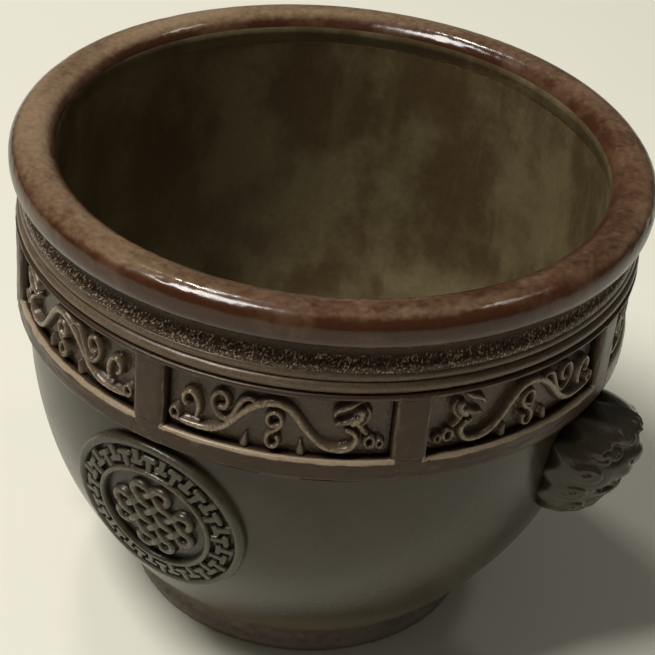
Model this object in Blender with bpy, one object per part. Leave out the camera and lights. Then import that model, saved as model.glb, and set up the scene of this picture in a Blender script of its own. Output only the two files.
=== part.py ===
"""Bronze treasure bowl.

A cast cup stands on a foot ring. Its upper sleeve carries a stack of turned rings: the frieze band with
its eight scroll panels, two beads, the neck collar and the heavy rim. Two round medallions and two lion
masks are fixed to the belly. Metres, +Z up, origin under the middle of the foot.
"""

import math
from typing import NamedTuple

import bmesh
import bpy
import numpy as np


class Bump(NamedTuple):
    """A soft swelling (or hollow) of the lion mask, one on each side of its middle line."""

    lift: float
    across: float
    up: float
    wide: float
    tall: float


# Fits and fineness
CLEARANCE = 0.0003
SEGMENTS = 52
SHARP_ANGLE = math.radians(35)
MERGE = 0.00001
SLOPE_STEP = 0.00001

# Cup: every radius below follows from its bore
CUP_BORE = 0.0380
SLEEVE_WALL = 0.0022
SHELF_WIDTH = 0.00125
BASE_TAPER = 0.01485
FLOOR_SWEEP = 0.0180
BODY_HEIGHT = 0.0418
BELLY_DROP = 0.0031
BELLY_POWER = 2.2
FLOOR_THICKNESS = 0.0032
BORE_POWER = 3.0
TONGUE_THICKNESS = 0.0012
PROFILE_STEPS = 10
FLOOR_CROWDING = 1.4

# Foot ring
FOOT_STEP = 0.0004
FOOT_WALL = 0.0044
FOOT_HEIGHT = 0.0040
FOOT_FLARE = 0.0007
FOOT_BAND_HEIGHT = 0.0008
FOOT_SWEEP_HEIGHT = 0.0014
SPIGOT_DEPTH = 0.0012

# Frieze band and its panels
BAND_WALL = 0.00275
BAND_HEIGHT = 0.01325
BAND_EDGE = 0.0004
WINDOW_SILL = 0.0031
WINDOW_LINTEL = 0.00085
WINDOW_COLUMNS = 7
BAR_WIDTH = 0.0045
PANEL_COUNT = 8
PANEL_THICKNESS = 0.0011
PANEL_COLUMNS = 26
SCROLL_RELIEF = 0.0012
SCROLL_WIDTH = 0.0011
SCROLL_LEAD = 0.0054
SCROLL_WAVE = 0.0151
SCROLL_SWING = 0.0029
SCROLL_FADE = 0.25

# Beads, collar and rim
LOWER_BEAD_WALL = 0.0026
LOWER_BEAD_HEIGHT = 0.0013
UPPER_BEAD_WALL = 0.00225
UPPER_BEAD_HEIGHT = 0.0009
BEAD_STEPS = 5
COLLAR_HEIGHT = 0.00385
SHOULDER_WALL = 0.0020
NECK_WALL = 0.0009
NECK_HEIGHT = 0.0006
NECK_SWEEP_HEIGHT = 0.0021
NECK_STEPS = 4
RIM_LIP = 0.0004
RIM_HALF_WIDTH = 0.0032
RIM_HALF_HEIGHT = 0.0027
RIM_SEAT_DROP = 0.0019
RIM_GROOVE_DEPTH = 0.0013
RIM_STEPS = 11

# Medallions
MEDALLION_TOP_GAP = 0.0005
MEDALLION_RADIUS = 0.0132
MEDALLION_FLANGE = 0.0013
MEDALLION_LIP = 0.0010
MEDALLION_PROUD = 0.0014
MEDALLION_EDGE = 0.0003
FRET_WIDTH = 0.0031
FRET_DEPTH = 0.0006
FRET_KEYS = 24
KNOT_CORE = 0.0024
KNOT_REACH = 0.0050
KNOT_MARGIN = 0.0010
KNOT_RELIEF = 0.0006
KNOT_SPOKES = 24

# Lion masks
MASK_TOP_GAP = 0.0005
MASK_HALF_WIDTH = 0.0085
MASK_HALF_HEIGHT = 0.0086
MASK_EDGE = 0.0012
MASK_SQUARE = 2.2
MASK_ROUND = 0.7
MASK_SPOKES = 28
MASK_FRONT_RINGS = (0.0, 0.16, 0.32, 0.48, 0.62, 0.76, 0.88, 0.96, 1.0)
MASK_BACK_RINGS = (0.0, 0.34, 0.67, 1.0)
MANE_LOBES = 9
MANE_DIP = 0.0004
SNOUT_UP = 0.0018
SNOUT_DEPTH = 0.0088
FOREHEAD_UP = 0.0058
FOREHEAD_DEPTH = 0.0070
CHIN_UP = -0.0058
CHIN_DEPTH = 0.0064
BROW = Bump(lift=0.0009, across=0.0030, up=0.0058, wide=0.0022, tall=0.0012)
EYES = Bump(lift=-0.0012, across=0.0034, up=0.0034, wide=0.0014, tall=0.0011)
MOUTH = Bump(lift=-0.0030, across=0.0, up=-0.0020, wide=0.0046, tall=0.0010)
CHEEKS = Bump(lift=0.0009, across=0.0052, up=-0.0008, wide=0.0018, tall=0.0024)

# Radii that follow from the sizes above
SLEEVE_RADIUS = CUP_BORE + SLEEVE_WALL
RING_BORE = SLEEVE_RADIUS + CLEARANCE
BELLY_RADIUS = SLEEVE_RADIUS + SHELF_WIDTH
BASE_RADIUS = BELLY_RADIUS - BASE_TAPER
FLOOR_RADIUS = CUP_BORE - FLOOR_SWEEP
FOOT_RADIUS = BASE_RADIUS - FOOT_STEP
FOOT_BORE = FOOT_RADIUS - FOOT_WALL
BAND_RADIUS = RING_BORE + BAND_WALL
RIM_MIDDLE = CUP_BORE - RIM_LIP + RIM_HALF_WIDTH
FRET_OUTER = MEDALLION_RADIUS - MEDALLION_FLANGE
FRET_INNER = FRET_OUTER - FRET_WIDTH
MEDALLION_BORE = FRET_INNER - MEDALLION_LIP
EMBLEM_RADIUS = MEDALLION_BORE - CLEARANCE

# Heights that follow from the sizes above
CUP_BASE_Z = FOOT_HEIGHT + CLEARANCE
SHELF_Z = CUP_BASE_Z + BODY_HEIGHT
BELLY_Z = SHELF_Z - BELLY_DROP
FLOOR_Z = CUP_BASE_Z + FLOOR_THICKNESS
BAND_Z = SHELF_Z + CLEARANCE
WINDOW_Z = BAND_Z + WINDOW_SILL
WINDOW_HEIGHT = BAND_HEIGHT - WINDOW_SILL - WINDOW_LINTEL
LOWER_BEAD_Z = BAND_Z + BAND_HEIGHT + CLEARANCE
UPPER_BEAD_Z = LOWER_BEAD_Z + LOWER_BEAD_HEIGHT + CLEARANCE
COLLAR_Z = UPPER_BEAD_Z + UPPER_BEAD_HEIGHT + CLEARANCE
RIM_SEAT_Z = COLLAR_Z + COLLAR_HEIGHT + CLEARANCE
RIM_Z = RIM_SEAT_Z + RIM_SEAT_DROP
MEDALLION_Z = SHELF_Z - MEDALLION_TOP_GAP - MEDALLION_RADIUS
MASK_Z = SHELF_Z - MASK_TOP_GAP - MASK_HALF_HEIGHT


def clear_scene():
    """Removes every object that the file starts with."""
    for item in list(bpy.data.objects):
        bpy.data.objects.remove(item, do_unlink=True)


def bronze(name, colour, roughness):
    """Returns a patinated bronze material."""
    material = bpy.data.materials.new(name)
    material.use_nodes = True
    shader = material.node_tree.nodes["Principled BSDF"]
    shader.inputs["Base Color"].default_value = (*colour, 1.0)
    shader.inputs["Metallic"].default_value = 0.85
    shader.inputs["Roughness"].default_value = roughness
    return material


def add_object(name, mesh, material, parent):
    """Links a mesh as a named object under the bowl's empty."""
    mesh.shade_smooth()
    mesh.set_sharp_from_angle(angle=SHARP_ANGLE)
    item = bpy.data.objects.new(name, mesh)
    item.data.materials.append(material)
    item.parent = parent
    bpy.context.scene.collection.objects.link(item)
    return item


def add_shape(name, shape, material, parent):
    """Turns a finished bmesh into a named object, with its faces outward."""
    bmesh.ops.recalc_face_normals(shape, faces=shape.faces)
    mesh = bpy.data.meshes.new(name)
    shape.to_mesh(mesh)
    shape.free()
    return add_object(name, mesh, material, parent)


def turned(name, profile, closed, material, parent):
    """Turns a profile of (radius, height) points, which runs down its outer side, about Z."""
    mesh = bpy.data.meshes.new(name)
    count = len(profile)
    edges = [(i, i + 1) for i in range(count - 1)]
    if closed:
        edges.append((count - 1, 0))
    mesh.from_pydata([(r, 0.0, z) for r, z in profile], edges, [])
    item = add_object(name, mesh, material, parent)
    screw = item.modifiers.new("turn", "SCREW")
    screw.steps = SEGMENTS
    screw.render_steps = SEGMENTS
    screw.use_merge_vertices = True
    screw.merge_threshold = MERGE
    screw.use_smooth_shade = True
    return item


def ring(name, bore, z, section, material, parent):
    """Turns a ring whose outer side is a list of (radius, height above z) points from top to bottom."""
    outer = [(r, z + h) for r, h in section]
    profile = outer + [(bore, outer[-1][1]), (bore, outer[0][1])]
    return turned(name, profile, True, material, parent)


def arc(centre, radii, start, end, steps):
    """Returns points of an ellipse's arc between two angles in degrees."""
    angles = np.radians(np.linspace(start, end, steps))
    return [(centre[0] + radii[0] * math.cos(a), centre[1] + radii[1] * math.sin(a)) for a in angles]


def body_radius(z):
    """Outer radius of the cup below its shelf: full at the belly, drawn in to the base by a power curve."""
    share = np.clip((BELLY_Z - z) / (BELLY_Z - CUP_BASE_Z), 0.0, 1.0)
    return BELLY_RADIUS - (BELLY_RADIUS - BASE_RADIUS) * share ** BELLY_POWER


def bore_radius(z):
    """Inner radius of the cup, straight above the belly and drawn in to the floor below it."""
    share = np.clip((BELLY_Z - z) / (BELLY_Z - FLOOR_Z), 0.0, 1.0)
    return CUP_BORE - (CUP_BORE - FLOOR_RADIUS) * share ** BORE_POWER


def make_cup(material, parent):
    """The cast cup: floor, curved wall, shelf, sleeve, tongue for the rim, and spigot for the foot."""
    inner_z = FLOOR_Z + (BELLY_Z - FLOOR_Z) * np.linspace(0.0, 1.0, PROFILE_STEPS) ** FLOOR_CROWDING
    outer_z = CUP_BASE_Z + (BELLY_Z - CUP_BASE_Z) * np.linspace(1.0, 0.0, PROFILE_STEPS + 2)
    ledge_z = RIM_SEAT_Z - CLEARANCE
    tongue_z = RIM_SEAT_Z + RIM_GROOVE_DEPTH - CLEARANCE
    tongue_bore = SLEEVE_RADIUS - TONGUE_THICKNESS
    spigot = FOOT_BORE - CLEARANCE
    spigot_z = CUP_BASE_Z - SPIGOT_DEPTH
    profile = [(0.0, FLOOR_Z)]
    profile += [(float(bore_radius(z)), float(z)) for z in inner_z]
    profile += [(CUP_BORE, ledge_z), (tongue_bore, ledge_z), (tongue_bore, tongue_z)]
    profile += [(SLEEVE_RADIUS, tongue_z), (SLEEVE_RADIUS, SHELF_Z), (BELLY_RADIUS, SHELF_Z)]
    profile += [(float(body_radius(z)), float(z)) for z in outer_z]
    profile += [(spigot, CUP_BASE_Z), (spigot, spigot_z), (0.0, spigot_z)]
    return turned("bowl_cup", profile, False, material, parent)


def make_foot(material, parent):
    """The foot ring under the cup, slightly flared towards the table."""
    waist = FOOT_RADIUS - FOOT_FLARE
    section = [(waist, FOOT_HEIGHT), (waist, FOOT_BAND_HEIGHT + FOOT_SWEEP_HEIGHT)]
    section += [(FOOT_RADIUS, FOOT_BAND_HEIGHT), (FOOT_RADIUS, 0.0)]
    return ring("foot_ring", FOOT_BORE, 0.0, section, material, parent)


def make_bead(name, wall, height, z, material, parent):
    """A flat ring with a rounded outer edge."""
    half = height / 2
    section = arc((RING_BORE + wall - half, half), (half, half), 90, -90, BEAD_STEPS)
    return ring(name, RING_BORE, z, section, material, parent)


def make_collar(material, parent):
    """Neck and shoulder in one ring: a straight neck that sweeps out to the shoulder in a hollow curve."""
    neck = RING_BORE + NECK_WALL
    shoulder = RING_BORE + SHOULDER_WALL
    corner = (shoulder, COLLAR_HEIGHT - NECK_HEIGHT)
    hollow = arc(corner, (shoulder - neck, NECK_SWEEP_HEIGHT), 180, 270, NECK_STEPS)
    section = [(neck, COLLAR_HEIGHT)] + hollow + [(shoulder, 0.0)]
    return ring("neck_collar", RING_BORE, COLLAR_Z, section, material, parent)


def make_rim(material, parent):
    """The heavy rounded rim, flat underneath, with a groove that takes the cup's tongue."""
    seat_angle = math.degrees(math.asin(RIM_SEAT_DROP / RIM_HALF_HEIGHT))
    over = arc((RIM_MIDDLE, RIM_Z), (RIM_HALF_WIDTH, RIM_HALF_HEIGHT), 180, -seat_angle, RIM_STEPS)
    groove_outer = SLEEVE_RADIUS + CLEARANCE
    groove_inner = SLEEVE_RADIUS - TONGUE_THICKNESS - CLEARANCE
    roof = RIM_SEAT_Z + RIM_GROOVE_DEPTH
    under = [(groove_outer, RIM_SEAT_Z), (groove_outer, roof), (groove_inner, roof)]
    under += [(groove_inner, RIM_SEAT_Z), (CUP_BORE, RIM_SEAT_Z)]
    return turned("rim_ring", over + under, True, material, parent)


def make_cutter(name, start, end, radii, heights, material, parent):
    """A closed block bounded by two radii, two heights and two angles about Z, which cuts one window."""
    shape = bmesh.new()
    corners = [(radii[0], heights[0]), (radii[1], heights[0]), (radii[1], heights[1]), (radii[0], heights[1])]
    loops = []
    for angle in np.linspace(start, end, WINDOW_COLUMNS + 1):
        loops.append([shape.verts.new((r * math.cos(angle), r * math.sin(angle), z)) for r, z in corners])
    for left, right in zip(loops, loops[1:]):
        for i in range(len(corners)):
            j = (i + 1) % len(corners)
            shape.faces.new((left[i], right[i], right[j], left[j]))
    shape.faces.new(loops[0])
    shape.faces.new(loops[-1][::-1])
    cutter = add_shape(name, shape, material, parent)
    cutter.hide_render = True
    cutter.display_type = "WIRE"
    return cutter


def panel_span():
    """Returns the pitch of the panels and half the angle that one window opens."""
    pitch = 2 * math.pi / PANEL_COUNT
    return pitch, pitch / 2 - BAR_WIDTH / (2 * BAND_RADIUS)


def make_band(material, parent):
    """The frieze ring, with one window between each pair of bars."""
    top = [(BAND_RADIUS - BAND_EDGE, BAND_HEIGHT), (BAND_RADIUS, BAND_HEIGHT - BAND_EDGE)]
    bottom = [(BAND_RADIUS, BAND_EDGE), (BAND_RADIUS - BAND_EDGE, 0.0)]
    band = ring("frieze_band", RING_BORE, BAND_Z, top + bottom, material, parent)
    pitch, half = panel_span()
    reach = (RING_BORE - BAND_WALL, BAND_RADIUS + BAND_WALL)
    heights = (WINDOW_Z, WINDOW_Z + WINDOW_HEIGHT)
    for index in range(PANEL_COUNT):
        middle = (index + 0.5) * pitch
        name = f"window_cutter_{index + 1}"
        cut = band.modifiers.new(f"window_{index + 1}", "BOOLEAN")
        cut.operation = "DIFFERENCE"
        cut.solver = "EXACT"
        cut.object = make_cutter(name, middle - half, middle + half, reach, heights, material, parent)
    return band


def make_panel(index, material, parent):
    """A curved panel with a raised wave stem and leaf bosses; every second one is a mirror image."""
    pitch, half = panel_span()
    half -= CLEARANCE / RING_BORE
    length = 2 * half * RING_BORE
    low = WINDOW_Z + CLEARANCE
    tall = WINDOW_HEIGHT - 2 * CLEARANCE
    along = np.linspace(0.0, length, PANEL_COLUMNS + 1)
    if index % 2:
        along = along[::-1]
    angle = (index + 0.5) * pitch + np.linspace(-half, half, PANEL_COLUMNS + 1)
    wave = 2 * math.pi * (along - SCROLL_LEAD) / SCROLL_WAVE
    stem = tall / 2 - SCROLL_SWING * np.cos(wave)
    under, over = stem - SCROLL_WIDTH, stem + SCROLL_WIDTH
    flat = np.zeros_like(stem)
    rows = np.stack([flat, under / 2, under, stem, over, (tall + over) / 2, flat + tall])
    leaf = np.sin(wave) ** 2
    ends = np.sin(math.pi * along / length) ** SCROLL_FADE
    high = stem > tall / 2
    lift = np.stack([flat, leaf * high, flat, flat + 1, flat, leaf * ~high, flat]) * ends
    face = RING_BORE + PANEL_THICKNESS + SCROLL_RELIEF * lift
    front = np.stack([face * np.cos(angle), face * np.sin(angle), low + rows], -1)
    shape = bmesh.new()
    grid = [[shape.verts.new(point) for point in row] for row in front]
    back = []
    for z in (low, low + tall):
        back.append([shape.verts.new((RING_BORE * math.cos(a), RING_BORE * math.sin(a), z)) for a in angle])
    strips = list(zip(grid, grid[1:]))
    strips += [(back[1], back[0]), (back[0], grid[0]), (grid[-1], back[1])]
    for lower, upper in strips:
        for i in range(PANEL_COLUMNS):
            shape.faces.new((lower[i], lower[i + 1], upper[i + 1], upper[i]))
    for column in (0, PANEL_COLUMNS):
        shape.faces.new([row[column] for row in grid] + [back[1][column], back[0][column]])
    return add_shape(f"scroll_panel_{index + 1}", shape, material, parent)


def on_body(across, up, proud, azimuth, middle_z):
    """Places points given across and up the belly, standing proud of its surface along the normal."""

    def slope_at(height):
        rise = body_radius(height + SLOPE_STEP) - body_radius(height - SLOPE_STEP)
        return rise / (2 * SLOPE_STEP)

    z = middle_z + up / math.hypot(1, slope_at(middle_z))
    slope = slope_at(z)
    length = np.hypot(1, slope)
    radius = body_radius(z) + proud / length
    angle = azimuth + across / body_radius(middle_z)
    return np.stack([radius * np.cos(angle), radius * np.sin(angle), z - proud * slope / length], -1)


def skin_between(name, front, back, material, parent):
    """Closes two lists of point rings, front and back, into one body.

    The first ring of a list may be a single point. Both lists end on the same edge of the piece.
    """
    shape = bmesh.new()
    sides = [[[shape.verts.new(point) for point in row] for row in rows] for rows in (front, back)]
    joints = [(sides[0][-1], sides[1][-1])]
    if len(front[0]) > 1:
        joints.append((sides[0][0], sides[1][0]))
    for side in sides:
        joints += list(zip(side, side[1:]))
    for inner, outer in joints:
        count = len(outer)
        for i in range(count):
            j = (i + 1) % count
            if len(inner) == 1:
                shape.faces.new((inner[0], outer[i], outer[j]))
            else:
                shape.faces.new((inner[i], outer[i], outer[j], inner[j]))
    return add_shape(name, shape, material, parent)


def polar_rings(radii, proud, spokes, azimuth):
    """Rings of points about a medallion's middle; proud has one height, or one per spoke, for each radius."""
    turn = np.linspace(0.0, 2 * math.pi, spokes, endpoint=False)
    rings = []
    for radius, height in zip(radii, proud):
        if radius == 0.0:
            rings.append(on_body(np.zeros(1), np.zeros(1), np.full(1, height), azimuth, MEDALLION_Z))
            continue
        lift = np.broadcast_to(height, turn.shape)
        rings.append(on_body(radius * np.cos(turn), radius * np.sin(turn), lift, azimuth, MEDALLION_Z))
    return rings


def make_medallion_border(name, azimuth, material, parent):
    """Ring with a plain flange, a sunk key-fret track and a plain inner lip."""
    spokes = 2 * FRET_KEYS
    top = MEDALLION_PROUD
    key = np.where(np.arange(spokes) % 2 == 0, top, top - FRET_DEPTH)
    radii = [MEDALLION_BORE, FRET_INNER, FRET_INNER + MEDALLION_EDGE]
    radii += [FRET_OUTER - MEDALLION_EDGE, FRET_OUTER, MEDALLION_RADIUS]
    proud = [top, top, key, key, top, top - MEDALLION_EDGE]
    front = polar_rings(radii, proud, spokes, azimuth)
    back = polar_rings([MEDALLION_BORE, MEDALLION_RADIUS], [CLEARANCE, CLEARANCE], spokes, azimuth)
    return skin_between(name, front, back, material, parent)


def make_emblem(name, azimuth, material, parent):
    """Disc inside the border, with a raised knot of four loops."""
    turn = np.linspace(0.0, 2 * math.pi, KNOT_SPOKES, endpoint=False)
    floor = MEDALLION_PROUD - FRET_DEPTH
    top = floor + KNOT_RELIEF
    loops = floor + KNOT_RELIEF * np.cos(2 * turn) ** 2
    radii = [0.0, KNOT_CORE, KNOT_REACH, EMBLEM_RADIUS - KNOT_MARGIN, EMBLEM_RADIUS]
    front = polar_rings(radii, [top, top, loops, floor, floor], KNOT_SPOKES, azimuth)
    back = polar_rings([0.0, KNOT_REACH, EMBLEM_RADIUS], [CLEARANCE] * 3, KNOT_SPOKES, azimuth)
    return skin_between(name, front, back, material, parent)


def mask_depth(across, up):
    """Depth of the lion mask over the belly: a rounded snout in profile, carved by swellings and hollows."""
    stations = (-MASK_HALF_HEIGHT, CHIN_UP, SNOUT_UP, FOREHEAD_UP, MASK_HALF_HEIGHT)
    depths = (MASK_EDGE, CHIN_DEPTH, SNOUT_DEPTH, FOREHEAD_DEPTH, MASK_EDGE)
    profile = np.interp(up, stations, depths) - MASK_EDGE
    outline = MASK_HALF_WIDTH * np.sqrt(np.clip(1 - (up / MASK_HALF_HEIGHT) ** 2, 0.0, 1.0))
    share = np.clip(np.abs(across) / np.maximum(outline, MASK_EDGE), 0.0, 1.0)
    dome = (1 - share ** MASK_SQUARE) ** MASK_ROUND
    for bump in (BROW, EYES, MOUTH, CHEEKS):
        wide = (np.abs(across) - bump.across) / bump.wide
        tall = (up - bump.up) / bump.tall
        profile = profile + bump.lift * np.exp(-wide ** 2 - tall ** 2)
    return MASK_EDGE + dome * np.maximum(profile, 0.0)


def make_mask(name, azimuth, material, parent):
    """Lion-head lug: brow, eye hollows, snout, open mouth, cheeks and chin inside a lobed mane."""
    turn = np.linspace(0.0, 2 * math.pi, MASK_SPOKES, endpoint=False)
    dip = MANE_DIP * (1 - np.cos(MANE_LOBES * (turn - math.pi / 2))) / 2

    def rings(shares, depth):
        rows = []
        for share in shares:
            spokes = slice(0, 1) if share == 0.0 else slice(None)
            across = share * (MASK_HALF_WIDTH - dip[spokes]) * np.cos(turn[spokes])
            up = share * (MASK_HALF_HEIGHT - dip[spokes]) * np.sin(turn[spokes])
            rows.append(on_body(across, up, depth(across, up), azimuth, MASK_Z))
        return rows

    front = rings(MASK_FRONT_RINGS, mask_depth)
    back = rings(MASK_BACK_RINGS, lambda across, up: np.full(across.shape, CLEARANCE))
    return skin_between(name, front, back, material, parent)


def main():
    """Builds every piece of the bowl under one empty."""
    clear_scene()
    bowl = bpy.data.objects.new("treasure_bowl", None)
    bpy.context.scene.collection.objects.link(bowl)
    body = bronze("body_bronze", (0.105, 0.088, 0.068), 0.38)
    worn = bronze("rim_bronze", (0.170, 0.110, 0.070), 0.32)
    frieze = bronze("frieze_bronze", (0.120, 0.098, 0.074), 0.42)
    relief = bronze("relief_bronze", (0.130, 0.105, 0.078), 0.45)
    dark = bronze("foot_bronze", (0.045, 0.038, 0.032), 0.55)
    make_cup(body, bowl)
    make_foot(dark, bowl)
    make_band(frieze, bowl)
    for index in range(PANEL_COUNT):
        make_panel(index, relief, bowl)
    make_bead("lower_bead", LOWER_BEAD_WALL, LOWER_BEAD_HEIGHT, LOWER_BEAD_Z, frieze, bowl)
    make_bead("upper_bead", UPPER_BEAD_WALL, UPPER_BEAD_HEIGHT, UPPER_BEAD_Z, frieze, bowl)
    make_collar(frieze, bowl)
    make_rim(worn, bowl)
    for side, azimuth in (("front", -math.pi / 2), ("back", math.pi / 2)):
        make_medallion_border(f"medallion_border_{side}", azimuth, relief, bowl)
        make_emblem(f"medallion_emblem_{side}", azimuth, relief, bowl)
    for side, azimuth in (("right", 0.0), ("left", math.pi)):
        make_mask(f"lion_mask_{side}", azimuth, body, bowl)


main()
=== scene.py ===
"""Looks of the bronze treasure bowl.

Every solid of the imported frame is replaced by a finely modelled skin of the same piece: turned rings with
cast grain, eight carved scroll panels, two key-fret medallions with a woven knot, and two lion masks. The
camera stands where the photograph was taken from. Metres, +Z up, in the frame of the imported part.
"""

import logging
import math
from dataclasses import dataclass
from enum import Enum
from typing import Sequence

import bpy
import numpy as np
from mathutils import Matrix, Vector


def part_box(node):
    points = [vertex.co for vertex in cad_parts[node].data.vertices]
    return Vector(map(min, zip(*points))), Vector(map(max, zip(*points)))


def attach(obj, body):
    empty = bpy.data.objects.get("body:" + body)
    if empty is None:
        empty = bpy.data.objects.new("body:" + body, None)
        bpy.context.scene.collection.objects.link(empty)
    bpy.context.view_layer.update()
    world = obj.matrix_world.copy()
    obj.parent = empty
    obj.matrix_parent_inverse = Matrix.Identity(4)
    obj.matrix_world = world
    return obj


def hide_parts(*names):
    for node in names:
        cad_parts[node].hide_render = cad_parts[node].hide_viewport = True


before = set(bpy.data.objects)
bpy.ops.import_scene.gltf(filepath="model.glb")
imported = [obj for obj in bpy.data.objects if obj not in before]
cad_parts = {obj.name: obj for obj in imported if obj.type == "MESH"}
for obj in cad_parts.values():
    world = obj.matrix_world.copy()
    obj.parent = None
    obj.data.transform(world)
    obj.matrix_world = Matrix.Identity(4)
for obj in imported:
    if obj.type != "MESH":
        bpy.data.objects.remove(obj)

LOG = logging.getLogger("treasure_bowl")

Array = np.ndarray
Colour = tuple[float, float, float]
Point = tuple[float, float]
Triple = tuple[float, float, float]
Material = bpy.types.Material
Socket = bpy.types.NodeSocket

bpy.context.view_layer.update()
RELIEF = "relief"
MILLIMETRE = 0.001
MM_PER_METRE = 1000
HAIR = 1e-6
NO_AREA = 1e-18
NO_LENGTH = 1e-12
SLOPE_STEP = 1e-5
EASE_POINTS = 6
EDGE_LIMIT = 0.999
BACK_WEAR = 0.1


class Slot(Enum):
    """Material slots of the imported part."""

    BODY = "body_bronze"
    RIM = "rim_bronze"
    FRIEZE = "frieze_bronze"
    RELIEF = "relief_bronze"
    FOOT = "foot_bronze"


class Closing(Enum):
    """How the rows of a grid, whose columns always run round, are closed."""

    LOOP = "last row meets the first"
    POLES = "both end rows shrink to a point"


# Numbers that every piece shares


def box_of(node: str) -> tuple[Array, Array]:
    """Lowest and highest corner of one solid of the frame."""
    low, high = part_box(node)
    return np.array(low), np.array(high)


def smooth(low: float, high: float, value: Array) -> Array:
    """Smooth step 3 s^2 - 2 s^3, where s is the value's share of the way from low to high, clipped."""
    share = np.clip((value - low) / (high - low), 0.0, 1.0)
    return share * share * (3.0 - 2.0 * share)


def rounding(off: Array, power: float) -> Array:
    """Height of a round ridge: the root of 1 - |off|^power, and 0 from one half width outwards."""
    return np.sqrt(np.clip(1 - np.abs(off) ** power, 0.0, 1.0))


def circle(columns: int) -> Array:
    """Angles of evenly spaced points round an axis."""
    return np.linspace(0.0, 2 * math.pi, columns, endpoint=False)


@dataclass(frozen=True)
class Swell:
    """Soft unevenness of a casting: a sum of cosine waves that close round the axis.

    Attributes:
        depth: size of the unevenness.
        waves: how many waves are added.
        rise: how far the waves run on along the section.
        seed: seed of the waves.
        turns: least number of turns round the axis, and the first that is too many.
        climb: steepest wave along the section.
    """

    depth: float
    waves: int
    rise: float
    seed: int
    turns: tuple[int, int] = (1, 9)
    climb: float = 7.0

    def field(self, rows: int, columns: int) -> Array:
        """Adds up cos(turns a + climb s + phase) over the angle a and the place s along the section.

        Args:
            rows: points along the section.
            columns: points round the axis.

        Returns:
            Unevenness by row and column.
        """
        random = np.random.default_rng(self.seed)
        around = circle(columns)[None]
        along = self.rise * np.linspace(0.0, 1.0, rows)[:, None]
        total = np.zeros((rows, columns))
        for _ in range(self.waves):
            turns = random.integers(*self.turns)
            climb = random.uniform(-self.climb, self.climb)
            phase = random.uniform(0.0, 2 * math.pi)
            total = total + np.cos(turns * around + climb * along + phase)
        return self.depth * (total / math.sqrt(2.0 * self.waves))


@dataclass(frozen=True)
class Grain:
    """Cast grain: seeded white noise that is blurred over its neighbours and wraps on both sides.

    Attributes:
        depth: height of the grain.
        wear: how far it shows in the relief shares.
        blur: how many times each value is averaged with its neighbours.
        seed: seed of the noise.
    """

    depth: float
    wear: float
    blur: int
    seed: int

    def field(self, rows: int, columns: int) -> Array:
        """Blurs the noise by weights of 1, 2 and 1 along both sides of the grid.

        Args:
            rows: rows of the grid.
            columns: columns of the grid.

        Returns:
            Field with mean 0 and spread 1.
        """
        field = np.random.default_rng(self.seed).normal(size=(rows, columns))
        for _ in range(self.blur):
            for axis in (0, 1):
                field = (np.roll(field, 1, axis) + 2 * field + np.roll(field, -1, axis)) / 4
        return field / field.std()


def spline(points: Array, per_span: int) -> Array:
    """Smooth curve through control points.

    Every span is a cubic, whose slope at each end is half the step between that end's two neighbours.

    Args:
        points: control points, one per row, with any number of values each.
        per_span: points of the curve between two control points.

    Returns:
        Points of the curve, one per row.
    """
    padded = np.vstack([2 * points[0] - points[1], points, 2 * points[-1] - points[-2]])
    t = np.linspace(0.0, 1.0, per_span, endpoint=False)[:, None]
    parts = []
    for a, b, c, d in zip(padded, padded[1:], padded[2:], padded[3:]):
        bend = 2 * a - 5 * b + 4 * c - d + t * (3 * (b - c) + d - a)
        parts.append(b + 0.5 * t * (c - a + t * bend))
    return np.vstack(parts + [points[-1:]])


def stroke_field(x: Array, y: Array, path: Array) -> Array:
    """Distance of grid points from a drawn line, in half widths of the line.

    Args:
        x: positions across.
        y: positions up.
        path: rows of across, up and half width along the line.

    Returns:
        For every grid point the least distance over half width.
    """
    best = np.full(np.broadcast(x, y).shape, np.inf)
    for (ax, ay, aw), (bx, by, bw) in zip(path, path[1:]):
        dx, dy = bx - ax, by - ay
        span = dx * dx + dy * dy + NO_AREA
        t = np.clip(((x - ax) * dx + (y - ay) * dy) / span, 0.0, 1.0)
        half = aw + t * (bw - aw)
        best = np.minimum(best, np.hypot(x - ax - t * dx, y - ay - t * dy) / half)
    return best


def rounded(corners: Sequence[Triple], step: float) -> Array:
    """Closed section with eased corners.

    Every corner (radius, height, ease) is cut back by its ease on both sides and bridged by a quadratic
    curve. Straight runs get points about one step apart.

    Args:
        corners: corners that go up the outer side and down the inner one.
        step: distance of points on straight runs.

    Returns:
        Radius and height, one point per row.
    """
    count = len(corners)
    spots = np.array([corner[:2] for corner in corners])
    points = []
    for i in range(count):
        here, ease = spots[i], corners[i][2]
        before, after = spots[i - 1], spots[(i + 1) % count]
        start = here + (before - here) / np.linalg.norm(before - here) * ease
        end = here + (after - here) / np.linalg.norm(after - here) * ease
        t = np.linspace(0.0, 1.0, EASE_POINTS if ease else 1)[:, None]
        points.append((1 - t) ** 2 * start + 2 * t * (1 - t) * here + t ** 2 * end)
        goal = after + (here - after) / np.linalg.norm(here - after) * corners[(i + 1) % count][2]
        pieces = max(int(np.linalg.norm(goal - end) / step), 1)
        run = np.linspace(0.0, 1.0, pieces + 1)[1:-1, None]
        points.append(end + run * (goal - end))
    return np.vstack(points)


def section_normals(section: Array, closed: bool) -> Array:
    """Outward normals of a section that goes up its outer side: its tangents, turned to the right.

    Args:
        section: radius and height, one point per row.
        closed: whether the last point meets the first.

    Returns:
        Unit normals, one per row.
    """
    if closed:
        tangent = np.roll(section, -1, 0) - np.roll(section, 1, 0)
    else:
        tangent = np.gradient(section, axis=0)
    normal = np.stack([tangent[:, 1], -tangent[:, 0]], -1)
    return normal / (np.linalg.norm(normal, axis=1, keepdims=True) + NO_LENGTH)


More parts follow.
